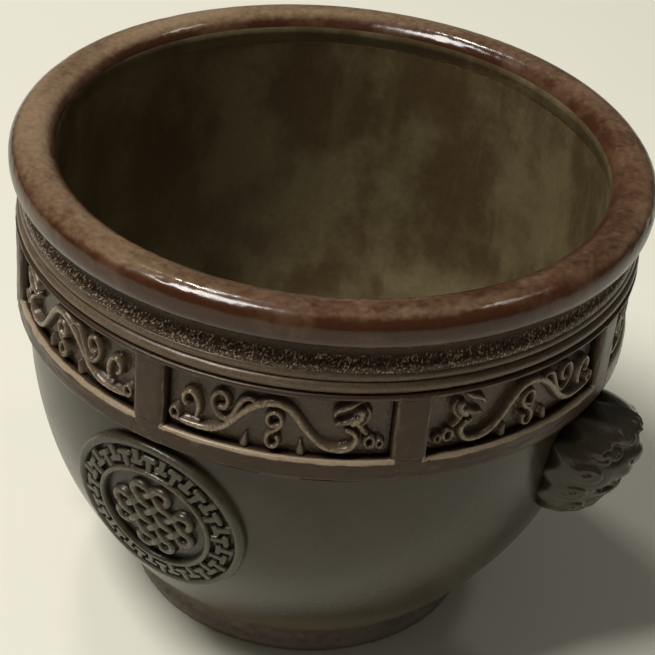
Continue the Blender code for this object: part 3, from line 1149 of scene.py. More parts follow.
@dataclass(frozen=True)
class Frieze:
    """The raised band with eight windows.

    Attributes:
        panels: number of windows.
        bar_width: width of the bars between them.
        sill: height of the lower rail.
        lintel: height of the upper rail.
        bore: inner radius.
        skin: thickness left behind the panels.
        edge: easing of the band's own edges.
        arris: width of the bevel round a window.
        arris_drop: depth of that bevel.
        wall: distances inside a window's edge between which its wall goes down.
        near_mm: distances inside a window's edge of its fine rows and columns, in millimetres.
        side_margin: distance of a window's other columns from its sides.
        bar_margin: distance of a bar's other columns from the windows.
        rail_margin: distance of the lower rail's other rows from the windows.
        ground_margin: distance of a window's other rows from its lower and upper edge.
        ground_columns: points across a window.
        bar_columns: points across half a bar.
        rail_rows: points up the lower rail.
        ground_rows: points up a window.
        top_rows: distances of the last rows from the band's upper edge.
        grain: cast grain.
        wear: relief of the face.
        arris_wear_and_sill_light: relief that wear adds to the bevel, and the painted highlight that the sill
            adds to that.
        arris_zone: distances from a window's edge, in bevel widths, between which that starts.
        ground_from: distance inside a window's edge where the ground's relief starts.
        ground_wear: relief behind the panels.
    """

    panels: int = 8
    bar_width: float = 0.0045
    sill: float = 0.0031
    lintel: float = 0.00085
    bore: float = RING_BORE
    skin: float = 0.0002
    edge: float = 0.0005
    arris: float = 0.00042
    arris_drop: float = 0.00026
    wall: Point = (-0.00002, 0.00014)
    near_mm: tuple[float, ...] = (-0.6, -0.35, -0.2, -0.12, -0.06, 0.0, 0.05, 0.10, 0.15, 0.4)
    side_margin: float = 0.0008
    bar_margin: float = 0.0009
    rail_margin: float = 0.0007
    ground_margin: float = 0.0006
    ground_columns: int = 40
    bar_columns: int = 5
    rail_rows: int = 12
    ground_rows: int = 14
    top_rows: Triple = (0.0003, 0.0001, 0.0)
    grain: Grain = Grain(depth=0.000022, wear=0.06, blur=1, seed=21)
    wear: float = 0.54
    arris_wear_and_sill_light: Point = (0.12, 0.42)
    arris_zone: Point = (-1.4, -0.6)
    ground_from: float = 0.00003
    ground_wear: float = 0.05

    @property
    def radius(self) -> float:
        """Outer radius of the band."""
        return float(box_of("frieze_band")[1][0])

    @property
    def half_angle(self) -> float:
        """Half the angle that one window opens."""
        return math.pi / self.panels - self.bar_width / (2 * self.radius)

    def window_heights(self) -> tuple[float, float]:
        """Heights of a window's lower and upper edge."""
        low, high = box_of("frieze_band")
        return float(low[2]) + self.sill, float(high[2]) - self.lintel

    def grid(self) -> tuple[Array, Array, Array]:
        """Places of the columns and rows, which crowd at the windows' edges.

        Returns:
            Angles, distances from the nearest window's edge, above 0 inside it, and heights.
        """
        low, high = box_of("frieze_band")
        bottom, top = self.window_heights()
        near = np.array(self.near_mm) * MILLIMETRE
        half = self.half_angle * self.radius
        pitch = 2 * math.pi / self.panels * self.radius
        ground = np.linspace(-half + self.side_margin, half - self.side_margin, self.ground_columns)
        bar = np.linspace(half + self.bar_margin, pitch / 2, self.bar_columns)
        across = np.unique(np.concatenate([ground, half - near, near - half, bar, -bar[:-1]]))
        middles = (np.arange(self.panels) + 0.5) * pitch / self.radius
        angle = (across / self.radius + middles[:, None]).ravel()
        rails = np.linspace(low[2], bottom - self.rail_margin, self.rail_rows)
        panel = np.linspace(bottom + self.ground_margin, top - self.ground_margin, self.ground_rows)
        upper = high[2] - np.array(self.top_rows)
        z = np.concatenate([rails, bottom + near, panel, top - near[::-1], upper])
        z = np.unique(np.clip(z, low[2], high[2]))
        aside = half - np.abs(np.tile(across, self.panels))[None]
        return angle, np.minimum(aside, np.minimum(z - bottom, top - z)[:, None]), z

    def build(self, material: Material) -> None:
        """Makes the band as one height field over angle and height, closed by its bore.

        The outer radius drops from the band's face to a thin skin inside each window, over a narrow bevel.

        Args:
            material: finish.
        """
        low, high = box_of("frieze_band")
        bottom = self.window_heights()[0]
        angle, inside, z = self.grid()
        field = self.grain.field(*inside.shape)
        radius = self.radius - (self.radius - self.bore - self.skin) * smooth(*self.wall, inside)
        radius = radius - self.arris_drop * np.clip(1 + inside / self.arris, 0.0, 1.0)
        radius = radius + np.where(inside < 0, self.grain.depth, 0.0) * field
        for gap in (z - low[2], high[2] - z):
            past = np.clip(1 - gap / self.edge, 0.0, EDGE_LIMIT)
            radius = radius - self.edge * (1 - np.sqrt(1 - past ** 2))[:, None]
        radius = np.vstack([radius, np.full((2, len(angle)), self.bore)])
        height = np.append(z, [high[2], low[2]])[:, None] + 0 * angle
        points = np.stack([radius * np.cos(angle), radius * np.sin(angle), height], -1)
        # Painted highlight: the bevel along each window's sill is made paler, over and above the edge wear.
        sill = smooth(bottom + self.arris, bottom, z)[:, None]
        start, full = (share * self.arris for share in self.arris_zone)
        worn_edge_and_lit_sill = (self.arris_wear_and_sill_light[0] + self.arris_wear_and_sill_light[1] * sill) * smooth(start, full, inside)
        rail = self.wear + self.grain.wear * field + worn_edge_and_lit_sill
        relief = np.where(inside > self.ground_from, self.ground_wear, rail)
        relief = np.vstack([relief, np.full((2, len(angle)), BACK_WEAR)])
        Skin.from_grid(points, relief, Closing.LOOP).to_object("frieze", "frieze_band", Slot.FRIEZE, material)


@dataclass(frozen=True)
class Stroke:
    """One raised line of the scroll carving.

    Attributes:
        path: points as share across, share up and half width in millimetres.
        height: height over the ground, as a share of the relief.
    """

    path: tuple[Triple, ...]
    height: float = 1.0


def ring_path(across: float, up: float, wide: float, tall: float, half: float) -> tuple[Triple, ...]:
    """Points of a small oval ring, from its middle, half width, half height and half line width."""
    turns = np.linspace(0.0, 2 * math.pi, 9)
    return tuple((across + wide * math.cos(turn), up + tall * math.sin(turn), half) for turn in turns)


STEM = Stroke(
    (
        (0.055, 0.20, 0.28), (0.085, 0.175, 0.36), (0.13, 0.165, 0.42), (0.19, 0.17, 0.47),
        (0.245, 0.22, 0.50), (0.29, 0.33, 0.50), (0.33, 0.48, 0.50), (0.37, 0.62, 0.50),
        (0.41, 0.73, 0.54), (0.455, 0.80, 0.60), (0.50, 0.82, 0.60), (0.545, 0.77, 0.56),
        (0.585, 0.64, 0.52), (0.62, 0.48, 0.48), (0.655, 0.34, 0.46), (0.695, 0.22, 0.46),
        (0.74, 0.16, 0.48), (0.785, 0.15, 0.48), (0.82, 0.19, 0.46), (0.84, 0.28, 0.42),
        (0.842, 0.37, 0.38), (0.825, 0.45, 0.34), (0.80, 0.49, 0.28),
    )
)
TAIL_RING = Stroke(ring_path(0.046, 0.27, 0.020, 0.085, 0.24), 0.95)
COMMA = Stroke(
    (
        (0.150, 0.33, 0.26), (0.158, 0.44, 0.36), (0.155, 0.56, 0.40), (0.138, 0.67, 0.38),
        (0.112, 0.70, 0.36), (0.090, 0.63, 0.34), (0.088, 0.53, 0.33), (0.103, 0.48, 0.34),
    )
)
CURL = Stroke(
    (
        (0.254, 0.57, 0.36), (0.276, 0.58, 0.33), (0.288, 0.70, 0.33), (0.270, 0.81, 0.33),
        (0.237, 0.79, 0.33), (0.217, 0.64, 0.34), (0.240, 0.47, 0.35), (0.278, 0.40, 0.36),
        (0.308, 0.48, 0.36), (0.330, 0.63, 0.37), (0.355, 0.78, 0.38), (0.388, 0.82, 0.36),
        (0.417, 0.76, 0.32),
    ),
    0.9,
)
ESS = Stroke(
    (
        (0.507, 0.47, 0.28), (0.478, 0.44, 0.26), (0.461, 0.53, 0.28), (0.469, 0.63, 0.30),
        (0.495, 0.67, 0.32), (0.519, 0.61, 0.32), (0.523, 0.50, 0.32), (0.507, 0.41, 0.34),
        (0.482, 0.35, 0.34), (0.464, 0.27, 0.34), (0.463, 0.18, 0.32), (0.479, 0.11, 0.30),
        (0.502, 0.12, 0.30), (0.514, 0.19, 0.28), (0.508, 0.27, 0.34),
    ),
    0.95,
)
SPROUTS = (
    Stroke(((0.364, 0.04, 0.50), (0.367, 0.10, 0.42), (0.371, 0.21, 0.16)), 0.7),
    Stroke(((0.612, 0.04, 0.50), (0.611, 0.10, 0.42), (0.609, 0.21, 0.16)), 0.7),
)
CREST = Stroke(
    (
        (0.742, 0.72, 0.12), (0.754, 0.80, 0.34), (0.784, 0.85, 0.44), (0.816, 0.90, 0.38),
        (0.846, 0.97, 0.12),
    )
)
HEAD = (
    CREST,
    Stroke(((0.748, 0.57, 0.12), (0.766, 0.60, 0.30), (0.792, 0.60, 0.40), (0.824, 0.65, 0.50)), 0.9),
    Stroke(((0.826, 0.60, 0.55), (0.848, 0.69, 0.72), (0.856, 0.77, 0.58)), 1.0),
    Stroke(((0.862, 0.58, 0.28), (0.884, 0.66, 0.30), (0.892, 0.77, 0.28), (0.878, 0.87, 0.16)), 0.85),
    Stroke(((0.850, 0.58, 0.42), (0.866, 0.50, 0.40), (0.884, 0.44, 0.34)), 0.9),
)
RINGS = (
    Stroke(ring_path(0.902, 0.29, 0.021, 0.085, 0.26), 0.9),
    Stroke(ring_path(0.948, 0.25, 0.014, 0.060, 0.22), 0.8),
)
MOTIF: tuple[Stroke, ...] = (STEM, TAIL_RING, COMMA, CURL, ESS, *SPROUTS, *HEAD, *RINGS)


@dataclass(frozen=True)
class ScrollPanel:
    """One carved panel of the frieze: a wave stem with curls and a crested head.

    Attributes:
        index: number of the panel, from 0; odd ones are mirror images.
        frieze: band that holds it.
        ground: height of the ground over the band's bore.
        relief: height of the carving over the ground.
        swell: widening of every drawn line.
        fullness: power of a line's section, 2 for a half circle.
        eye: shares across and up of the head's eye.
        eye_mm: reach of the eye in millimetres.
        eye_depth: depth of the eye, as a share of the relief.
        eye_floor: height share over which the eye cuts.
        gap: gap to the window's edges.
        columns: points across.
        rows: points up.
        per_span: points of a line between two of its control points.
        grain_seed: seed of the first panel's grain.
        wear: relief share of the ground, and what the carving adds.
        wear_power: how far the wear keeps to the crests.
    """

    index: int
    frieze: Frieze
    ground: float = 0.0011
    relief: float = 0.00125
    swell: float = 1.22
    fullness: float = 2.6
    eye: Point = (0.838, 0.72)
    eye_mm: float = 0.28
    eye_depth: float = 0.45
    eye_floor: float = 0.5
    gap: float = 0.00002
    columns: int = 300
    rows: int = 100
    per_span: int = 6
    grain_seed: int = 40
    wear: Point = (0.12, 0.70)
    wear_power: float = 1.5

    def carving(self) -> Array:
        """Height field of the motif: every stroke is a rounded ridge, and the highest one counts.

        Returns:
            Height shares over the ground by row and column, tail first.
        """
        bottom, top = self.frieze.window_heights()
        tall = (top - bottom) * MM_PER_METRE
        wide = 2 * self.frieze.half_angle * (self.frieze.bore + self.ground) * MM_PER_METRE
        x, y = np.meshgrid(np.linspace(0.0, wide, self.columns), np.linspace(0.0, tall, self.rows))
        height = np.zeros_like(x)
        for stroke in MOTIF:
            path = spline(np.array(stroke.path) * (wide, tall, self.swell), self.per_span)
            height = np.maximum(height, stroke.height * rounding(stroke_field(x, y, path), self.fullness))
        across, up = (x - self.eye[0] * wide) / self.eye_mm, (y - self.eye[1] * tall) / self.eye_mm
        return height - self.eye_depth * np.exp(-(across ** 2) - up ** 2) * (height > self.eye_floor)

    def build(self, carving: Array, material: Material) -> None:
        """Makes the panel: its carved front, a skirt round the edge and a plain back.

        Args:
            carving: height shares of the motif.
            material: finish.
        """
        bottom, top = self.frieze.window_heights()
        carved = carving[:, ::-1] if self.index % 2 else carving
        grain = Grain(depth=0.000012, wear=0.05, blur=2, seed=self.grain_seed + self.index)
        field = grain.field(self.rows, self.columns)
        shade = self.wear[0] + self.wear[1] * carved ** self.wear_power + grain.wear * field
        half = self.frieze.half_angle - self.gap / self.frieze.bore
        pitch = 2 * math.pi / self.frieze.panels
        angle = (self.index + 0.5) * pitch + np.linspace(-half, half, self.columns)
        z = np.linspace(bottom + self.gap, top - self.gap, self.rows)[:, None]
        radius = self.frieze.bore + self.ground + self.relief * carved + grain.depth * field
        radius[[0, -1]] = radius[:, [0, -1]] = self.frieze.bore + self.frieze.skin / 2
        points = np.stack([radius * np.cos(angle), radius * np.sin(angle), z + 0 * angle], -1).reshape(-1, 3)
        number = np.arange(radius.size).reshape(radius.shape)
        quads = np.stack([number[:-1, :-1], number[:-1, 1:], number[1:, 1:], number[1:, :-1]], -1)
        loop = np.concatenate([number[0, :-1], number[:-1, -1], number[-1, :0:-1], number[:0:-1, 0]])
        back = np.stack([np.roll(loop, -1), loop, np.full(len(loop), radius.size)], -1)
        points = np.vstack([points, points[loop].mean(0)])
        skin = Skin(points, quads.reshape(-1, 4), back, np.append(shade.ravel(), BACK_WEAR))
        name = f"scroll_panel_{self.index + 1}"
        skin.to_object(f"carved_{name}", name, Slot.RELIEF, material)


# Pieces on the belly


@dataclass(frozen=True)
class BellyPiece:
    """A piece that lies on the cup's wall.

    Attributes:
        side: end of the names of its solids.
        azimuth: angle about Z.
        cup: body that it lies on.
    """

    side: str
    azimuth: float
    cup: Cup

    @property
    def middle(self) -> float:
        """Height of the piece's middle on the belly."""
        raise NotImplementedError

    def lay(self, x: Array, y: Array, proud: Array) -> Array:
        """Points on the belly at x across and y up from the piece's middle, and proud over the wall."""
        return self.cup.on_body(x, y, proud, self.azimuth, self.middle)

    def disc(self, x: Array, y: Array, proud: Array, sunk: float, stride: int, relief: Array) -> Skin:
        """Closes a polar height field by a coarser back inside the wall.

        Args:
            x: positions across, by ring and spoke.
            y: positions up.
            proud: heights over the wall.
            sunk: depth of the back inside the wall.
            stride: rings of the front for one of the back.
            relief: relief shares.

        Returns:
            The closed skin.
        """
        back_x, back_y = x[::-stride], y[::-stride]
        back = self.lay(back_x, back_y, np.full_like(back_x, -sunk))
        points = np.concatenate([self.lay(x, y, proud), back])
        shade = np.concatenate([relief, np.full(back_x.shape, BACK_WEAR)])
        return Skin.from_grid(points, shade, Closing.POLES, flip=True)


# Lines of a pair of T-shaped keys, from and to, as shares across the pair and up the fret
KEY_LINES: tuple[tuple[Point, Point], ...] = (
    ((0.25, 0.0), (0.25, 0.66)),
    ((0.07, 0.68), (0.43, 0.68)),
    ((0.75, 1.0), (0.75, 0.34)),
    ((0.57, 0.32), (0.93, 0.32)),
)


@dataclass(frozen=True)
class Medallion(BellyPiece):
    """Round medallion on the belly: a flange, a key fret, an inner lip and a woven knot.

    Attributes:
        radius: outer radius.
        groove: middle radius of the groove inside the flange.
        fret: inner and outer radius of the fret.
        lip: inner and outer radius of the lip.
        proud: height of flange and lip.
        sunk: height of the fret's ground.
        field: height of the knot's ground.
        behind: depth of the back inside the wall.
        keys: pairs of T-shaped keys.
        key_width: half width of a key's line.
        key_edge: half widths between which a key's edge goes down.
        key_height: height of the keys, as a share of the lip's.
        key_spill: how far keys reach past the fret.
        strands: strands of the knot each way.
        strand_pitch: distance of the knot's strands.
        strand: half width of a strand.
        strand_power: power of a strand's section, 2 for a half circle.
        weave: height of a strand, as a share, and how far it goes up and down.
        loop_height: height of the loops, as a share.
        lip_power: power of the lip's section, 2 for a half circle.
        flange: middle and half width of the flange, as shares of its width.
        flange_power: power of the flange's section.
        flange_edge: share of the flange's width where it starts to fall to the wall.
        disc_start: radius where the rings of the disc start.
        disc_lap: how far the disc reaches under the lip.
        border_spokes: points round the border.
        border_rings: points across the border.
        disc_spokes: points round the knot's disc.
        disc_rings: points from the disc's middle to its edge.
        disc_back: rings of the disc's front for one of its back.
        border_grain: cast grain of the border.
        disc_grain: cast grain of the disc.
        flange_wear: relief share of the flange.
        border_wear: relief share of the fret's ground, and what the keys add.
        disc_wear: relief share of the knot's ground, and what the strands add.
    """

    radius: float = 0.0132
    groove: float = 0.0118
    fret: Point = (0.0088, 0.0116)
    lip: Point = (0.0078, 0.0087)
    proud: float = 0.0014
    sunk: float = 0.0005
    field: float = 0.00035
    behind: float = 0.0002
    keys: int = 17
    key_width: float = 0.00040
    key_edge: Point = (1.16, 0.84)
    key_height: float = 0.85
    key_spill: float = 0.0001
    strands: int = 4
    strand_pitch: float = 0.00218
    strand: float = 0.00064
    strand_power: float = 2.5
    weave: Point = (0.80, 0.20)
    loop_height: float = 0.9
    lip_power: float = 3
    flange: Point = (0.45, 0.55)
    flange_power: float = 2.6
    flange_edge: float = 0.5
    disc_start: float = 0.00004
    disc_lap: float = 0.0001
    border_spokes: int = 850
    border_rings: int = 84
    disc_spokes: int = 480
    disc_rings: int = 116
    disc_back: int = 12
    border_grain: Grain = Grain(depth=0.00001, wear=0.04, blur=2, seed=61)
    disc_grain: Grain = Grain(depth=0.000008, wear=0.04, blur=2, seed=62)
    flange_wear: float = 0.45
    border_wear: Point = (0.02, 0.70)
    disc_wear: Point = (0.24, 0.58)

    @property
    def middle(self) -> float:
        """Height of the medallion's middle on the belly."""
        low, high = box_of(f"medallion_border_{self.side}")
        return float(low[2] + high[2]) / 2

    def key_relief(self, rho: Array, phi: Array) -> Array:
        """Raised T-shaped keys that stand on the inner and hang from the outer edge in turn.

        Args:
            rho: distances from the middle.
            phi: angles about the middle.

        Returns:
            1 on the keys and 0 in the channels, with soft edges.
        """
        inner, outer = self.fret
        cell = 2 * math.pi / self.keys
        scale = (cell * (inner + outer) / 2, outer - inner)
        x, y = np.mod(phi, cell) / cell * scale[0], rho - inner
        raised = np.zeros(np.broadcast(x, y).shape)
        for ends in KEY_LINES:
            path = [(*np.multiply(end, scale), self.key_width) for end in ends]
            raised = np.maximum(raised, smooth(*self.key_edge, stroke_field(x, y, path)))
        return raised * ((rho > inner - self.key_spill) & (rho < outer + self.key_spill))

    def knot_relief(self, x: Array, y: Array) -> Array:
        """Woven knot: four strands each way on the diagonals, joined in pairs by loops on every side.

        Args:
            x: positions across.
            y: positions up.

        Returns:
            Height shares, 0 in the ground.
        """
        pitch = self.strand_pitch
        reach = self.strands / 2 * pitch
        level, swing = self.weave
        p, q = (x + y) / math.sqrt(2), (x - y) / math.sqrt(2)
        height = np.zeros_like(p)
        for along, across, turn in ((p, q, 0), (q, p, 1)):
            for number in range(self.strands):
                off = (across - (number - (self.strands - 1) / 2) * pitch) / self.strand
                wave = level + swing * np.cos(math.pi * (along / pitch + 0.5 + number + turn))
                ridge = rounding(off, self.strand_power) * wave
                height = np.maximum(height, np.where(np.abs(along) < reach, ridge, 0.0))
            for end in (-1, 1):
                for centre in (-pitch, pitch):
                    off = (np.hypot(along - end * reach, across - centre) - pitch / 2) / self.strand
                    ridge = rounding(off, self.strand_power) * self.loop_height
                    height = np.maximum(height, np.where(end * along >= reach, ridge, 0.0))
        return height

    def build_border(self, material: Material) -> None:
        """Makes the ring of lip, fret and flange as a height field that meets its back.

        Args:
            material: finish.
        """
        phi = circle(self.border_spokes)[None]
        rho = np.linspace(self.lip[0], self.radius, self.border_rings)[:, None]
        lip = rounding((rho - sum(self.lip) / 2) / ((self.lip[1] - self.lip[0]) / 2), self.lip_power)
        width = self.radius - self.groove
        middle, half = (share * width for share in self.flange)
        flange = rounding((rho - self.groove - middle) / half, self.flange_power)
        raised = np.maximum(self.key_height * self.key_relief(rho, phi), np.maximum(lip, flange))
        field = self.border_grain.field(*raised.shape)
        proud = self.sunk + (self.proud - self.sunk) * raised
        proud = np.where(rho > self.groove + self.flange_edge * width, self.proud * raised, proud)
        back = np.ones((2, self.border_spokes))
        proud = np.vstack([proud + self.border_grain.depth * field, -self.behind * back])
        worn = self.border_wear[0] + self.border_wear[1] * raised
        relief = np.where(rho > self.groove, self.flange_wear, worn) + self.border_grain.wear * field
        relief = np.vstack([relief, BACK_WEAR * back])
        rho = np.vstack([rho, [[self.radius], [self.lip[0]]]])
        points = self.lay(rho * np.cos(phi), rho * np.sin(phi), proud)
        name = f"medallion_border_{self.side}"
        border = Skin.from_grid(points, relief, Closing.LOOP, flip=True)
        border.to_object(f"carved_{name}", name, Slot.RELIEF, material)

    def build_emblem(self, material: Material) -> None:
        """Makes the disc with the knot.

        Args:
            material: finish.
        """
        phi = circle(self.disc_spokes)[None]
        rho = np.linspace(self.disc_start, self.lip[0] + self.disc_lap, self.disc_rings)[:, None]
        x, y = rho * np.cos(phi), rho * np.sin(phi)
        knot = self.knot_relief(x, y)
        field = self.disc_grain.field(*knot.shape)
        proud = self.field + (self.proud - self.field) * knot + self.disc_grain.depth * field
        relief = self.disc_wear[0] + self.disc_wear[1] * knot + self.disc_grain.wear * field
        name = f"medallion_emblem_{self.side}"
        skin = self.disc(x, y, proud, self.behind, self.disc_back, relief)
        skin.to_object(f"carved_{name}", name, Slot.RELIEF, material)


@dataclass(frozen=True)
class Bump:
    """A swelling or hollow of the mask, on both sides of its middle line.

    Attributes:
        lift: height in metres, below 0 for a hollow.
        across: distance from the middle line.
        up: height over the mask's middle.
        wide: reach across.
        tall: reach up.
        power: 2 for a soft swelling, more for a flatter one.
    """

    lift: float
    across: float
    up: float
    wide: float
    tall: float
    power: float = 2.0

    def field(self, x: Array, y: Array) -> Array:
        """Height over a grid: lift times e to the minus distance to the power."""
        far = ((np.abs(x) - self.across) / self.wide) ** 2 + ((y - self.up) / self.tall) ** 2
        return self.lift * np.exp(-(far ** (self.power / 2)))


FACE: tuple[Bump, ...] = (
    # Outer brow, eye hollow, eyeball and pupil
    Bump(0.0008, 0.0030, 0.0070, 0.0022, 0.0009),
    Bump(-0.0013, 0.0034, 0.0050, 0.0017, 0.0012),
    Bump(0.0012, 0.0034, 0.0049, 0.0009, 0.0007, 4.0),
    Bump(-0.0004, 0.0034, 0.0049, 0.0003, 0.0003),
    # Middle brow, nose, nostrils and upper lip
    Bump(0.0004, 0.0, 0.0060, 0.0010, 0.0012),
    Bump(0.0006, 0.0, 0.0039, 0.0017, 0.0009, 3.0),
    Bump(-0.0008, 0.0010, 0.0032, 0.0004, 0.00035),
    Bump(0.0006, 0.0019, 0.0018, 0.0014, 0.0009),
    # Open mouth, its teeth and lower lip
    Bump(-0.0024, 0.0, -0.0005, 0.0046, 0.0009, 3.0),
    Bump(0.0008, 0.0007, 0.0002, 0.00045, 0.0006, 4.0),
    Bump(0.0008, 0.0019, 0.0001, 0.00045, 0.0006, 4.0),
    Bump(0.0010, 0.0031, -0.0001, 0.0005, 0.0010, 4.0),
    Bump(0.0006, 0.0008, -0.0012, 0.00045, 0.0005, 4.0),
    Bump(0.0005, 0.0, -0.0021, 0.0032, 0.0007),
    # Cheek, ear and its hollow
    Bump(0.0009, 0.0052, 0.0006, 0.0016, 0.0022),
    Bump(0.0008, 0.0052, 0.0062, 0.0010, 0.0009, 3.0),
    Bump(-0.0006, 0.0052, 0.0061, 0.0004, 0.0005),
)

# Heights over the mask's middle and over the wall
HEAD_PROFILE: tuple[Point, ...] = (
    (-0.0086, 0.0003),
    (-0.0079, 0.0030),
    (-0.0057, 0.0057),
    (-0.0030, 0.0069),
    (-0.0004, 0.0079),
    (0.0018, 0.0086),
    (0.0038, 0.0089),
    (0.0058, 0.0082),
    (0.0075, 0.0062),
    (0.0086, 0.0026),
)


@dataclass(frozen=True)
class LionMask(BellyPiece):
    """Lion-head lug: brow, eyes, snout, open mouth with teeth, beard and a mane of curls.

    Attributes:
        half_width: half width on the belly.
        half_height: half height on the belly.
        edge: height of its edge.
        top_gap: gap between its upper edge and the frieze.
        behind: depth of the back inside the wall.
        block: power of the outline, 2 for an oval.
        square: power of the head's cross section.
        fall: how steeply the cross section falls off.
        lobes: lobes of the mane's outline.
        lobe_dip: depth between the lobes.
        curls: curls round the head, of which the lowest are left to the beard.
        curl_radius: radius of one curl.
        curl_ring: share of the head's reach where the curls sit.
        curl_low: share of the half height under which there are none.
        curl_height: height of a curl, and depth of its groove.
        curl_twist: how far the groove turns within one curl.
        curl_core: share of its radius where a curl is full.
        beard_zone: heights between which the beard starts.
        beard_depth: depth of the locks.
        beard_pitch: distance of the locks.
        beard_sway: how far the locks sway, in radians, and how often, in radians per metre.
        spokes: points round the mask.
        rings: points from its middle to its edge.
        first_ring: share of the way to the edge where the rings start.
        per_span: points of the profile between two of its control points.
        crowding: how far the rings crowd towards the edge, 1 for even rings.
        back_stride: rings of the front for one of the back.
        grain: cast grain.
        wear: relief share of the plain face.
        wear_rate: relief share per metre of height over the plain face.
        wear_level: height of carving that counts as plain.
    """

    half_width: float = 0.0085
    half_height: float = 0.0086
    edge: float = 0.0003
    top_gap: float = 0.0005
    behind: float = 0.0003
    block: float = 2.6
    square: float = 2.2
    fall: float = 0.7
    lobes: int = 13
    lobe_dip: float = 0.0005
    curls: int = 13
    curl_radius: float = 0.0016
    curl_ring: float = 0.82
    curl_low: float = -0.6
    curl_height: Point = (0.00045, 0.00020)
    curl_twist: float = 9.0
    curl_core: float = 0.45
    beard_zone: Point = (-0.0028, -0.0046)
    beard_depth: float = 0.00022
    beard_pitch: float = 0.0016
    beard_sway: Point = (2.0, 900.0)
    spokes: int = 360
    rings: int = 170
    first_ring: float = 0.004
    per_span: int = 8
    crowding: float = 0.8
    back_stride: int = 17
    grain: Grain = Grain(depth=0.00001, wear=0.04, blur=2, seed=71)
    wear: float = 0.50
    wear_rate: float = 110.0
    wear_level: float = 0.0003

    @property
    def middle(self) -> float:
        """Height of the mask's middle on the belly."""
        return self.cup.shelf_z - self.top_gap - self.half_height

    def mane(self, x: Array, y: Array) -> Array:
        """Curls round the head: each is a button with a groove that winds with its distance.

        Args:
            x: positions across.
            y: positions up.

        Returns:
            Heights of the curls.
        """
        height = np.zeros_like(x)
        for turn in 2 * math.pi * (np.arange(self.curls) + 0.5) / self.curls + math.pi / 2:
            curl_x = self.curl_ring * self.half_width * math.cos(turn)
            curl_y = self.curl_ring * self.half_height * math.sin(turn)
            if curl_y < self.curl_low * self.half_height:
                continue
            reach = np.hypot(x - curl_x, y - curl_y) / self.curl_radius
            swirl = np.arctan2(y - curl_y, x - curl_x) * (1 if curl_x > 0 else -1)
            button = self.curl_height[0] + self.curl_height[1] * np.cos(swirl - self.curl_twist * reach)
            height = np.maximum(height, smooth(1.0, self.curl_core, reach) * button)
        return height

    def carve(self, x: Array, y: Array) -> tuple[Array, Array]:
        """Height of the head: a snout in profile, rounded across, plus every swelling, curl and beard lock.

        Args:
            x: positions across.
            y: positions up.

        Returns:
            Heights over the belly and relief shares.
        """
        curve = spline(np.array(HEAD_PROFILE), self.per_span)
        profile = np.interp(y, curve[:, 0], curve[:, 1]) - self.edge
        inside = np.clip(1 - np.abs(y / self.half_height) ** self.block, 0.0, 1.0)
        outline = self.half_width * inside ** (1 / self.block)
        share = np.clip(np.abs(x) / np.maximum(outline, self.edge), 0.0, 1.0)
        dome = (1 - share ** self.square) ** self.fall
        sway = self.beard_sway[0] * np.sin(self.beard_sway[1] * y)
        locks = smooth(*self.beard_zone, y) * np.cos(2 * math.pi * x / self.beard_pitch + sway)
        fine = sum(bump.field(x, y) for bump in FACE) + self.beard_depth * locks
        mane = self.mane(x, y)
        height = self.edge + dome * np.maximum(profile + fine, 0.0) + mane
        shade = self.wear + self.wear_rate * (fine * dome + mane - self.wear_level)
        return height, np.clip(shade, 0.0, 1.0)

    def build(self, material: Material) -> None:
        """Makes the mask as a polar height field over the belly, closed by a back inside the wall.

        Args:
            material: finish.
        """
        turn = circle(self.spokes)[None]
        share = np.linspace(self.first_ring, 1.0, self.rings)[:, None] ** self.crowding
        dip = self.lobe_dip * (1 - np.cos(self.lobes * (turn - math.pi / 2))) / 2
        sides = np.abs(np.cos(turn)) ** self.block + np.abs(np.sin(turn)) ** self.block
        full = sides ** (-1 / self.block)
        x = share * full * (self.half_width - dip) * np.cos(turn)
        y = share * full * (self.half_height - dip) * np.sin(turn)
        height, shade = self.carve(x, y)
        field = self.grain.field(*x.shape)
        proud = height + self.grain.depth * field
        skin = self.disc(x, y, proud, self.behind, self.back_stride, shade + self.grain.wear * field)
        name = f"lion_mask_{self.side}"
        skin.to_object(f"carved_{name}", name, Slot.BODY, material)


# Stage


def bearing(azimuth: float, elevation: float) -> Vector:
    """Unit vector at an angle from -Y towards +X and an angle over the horizon, both in degrees."""
    az, el = math.radians(azimuth), math.radians(elevation)
    return Vector((math.cos(el) * math.sin(az), -math.cos(el) * math.cos(az), math.sin(el)))


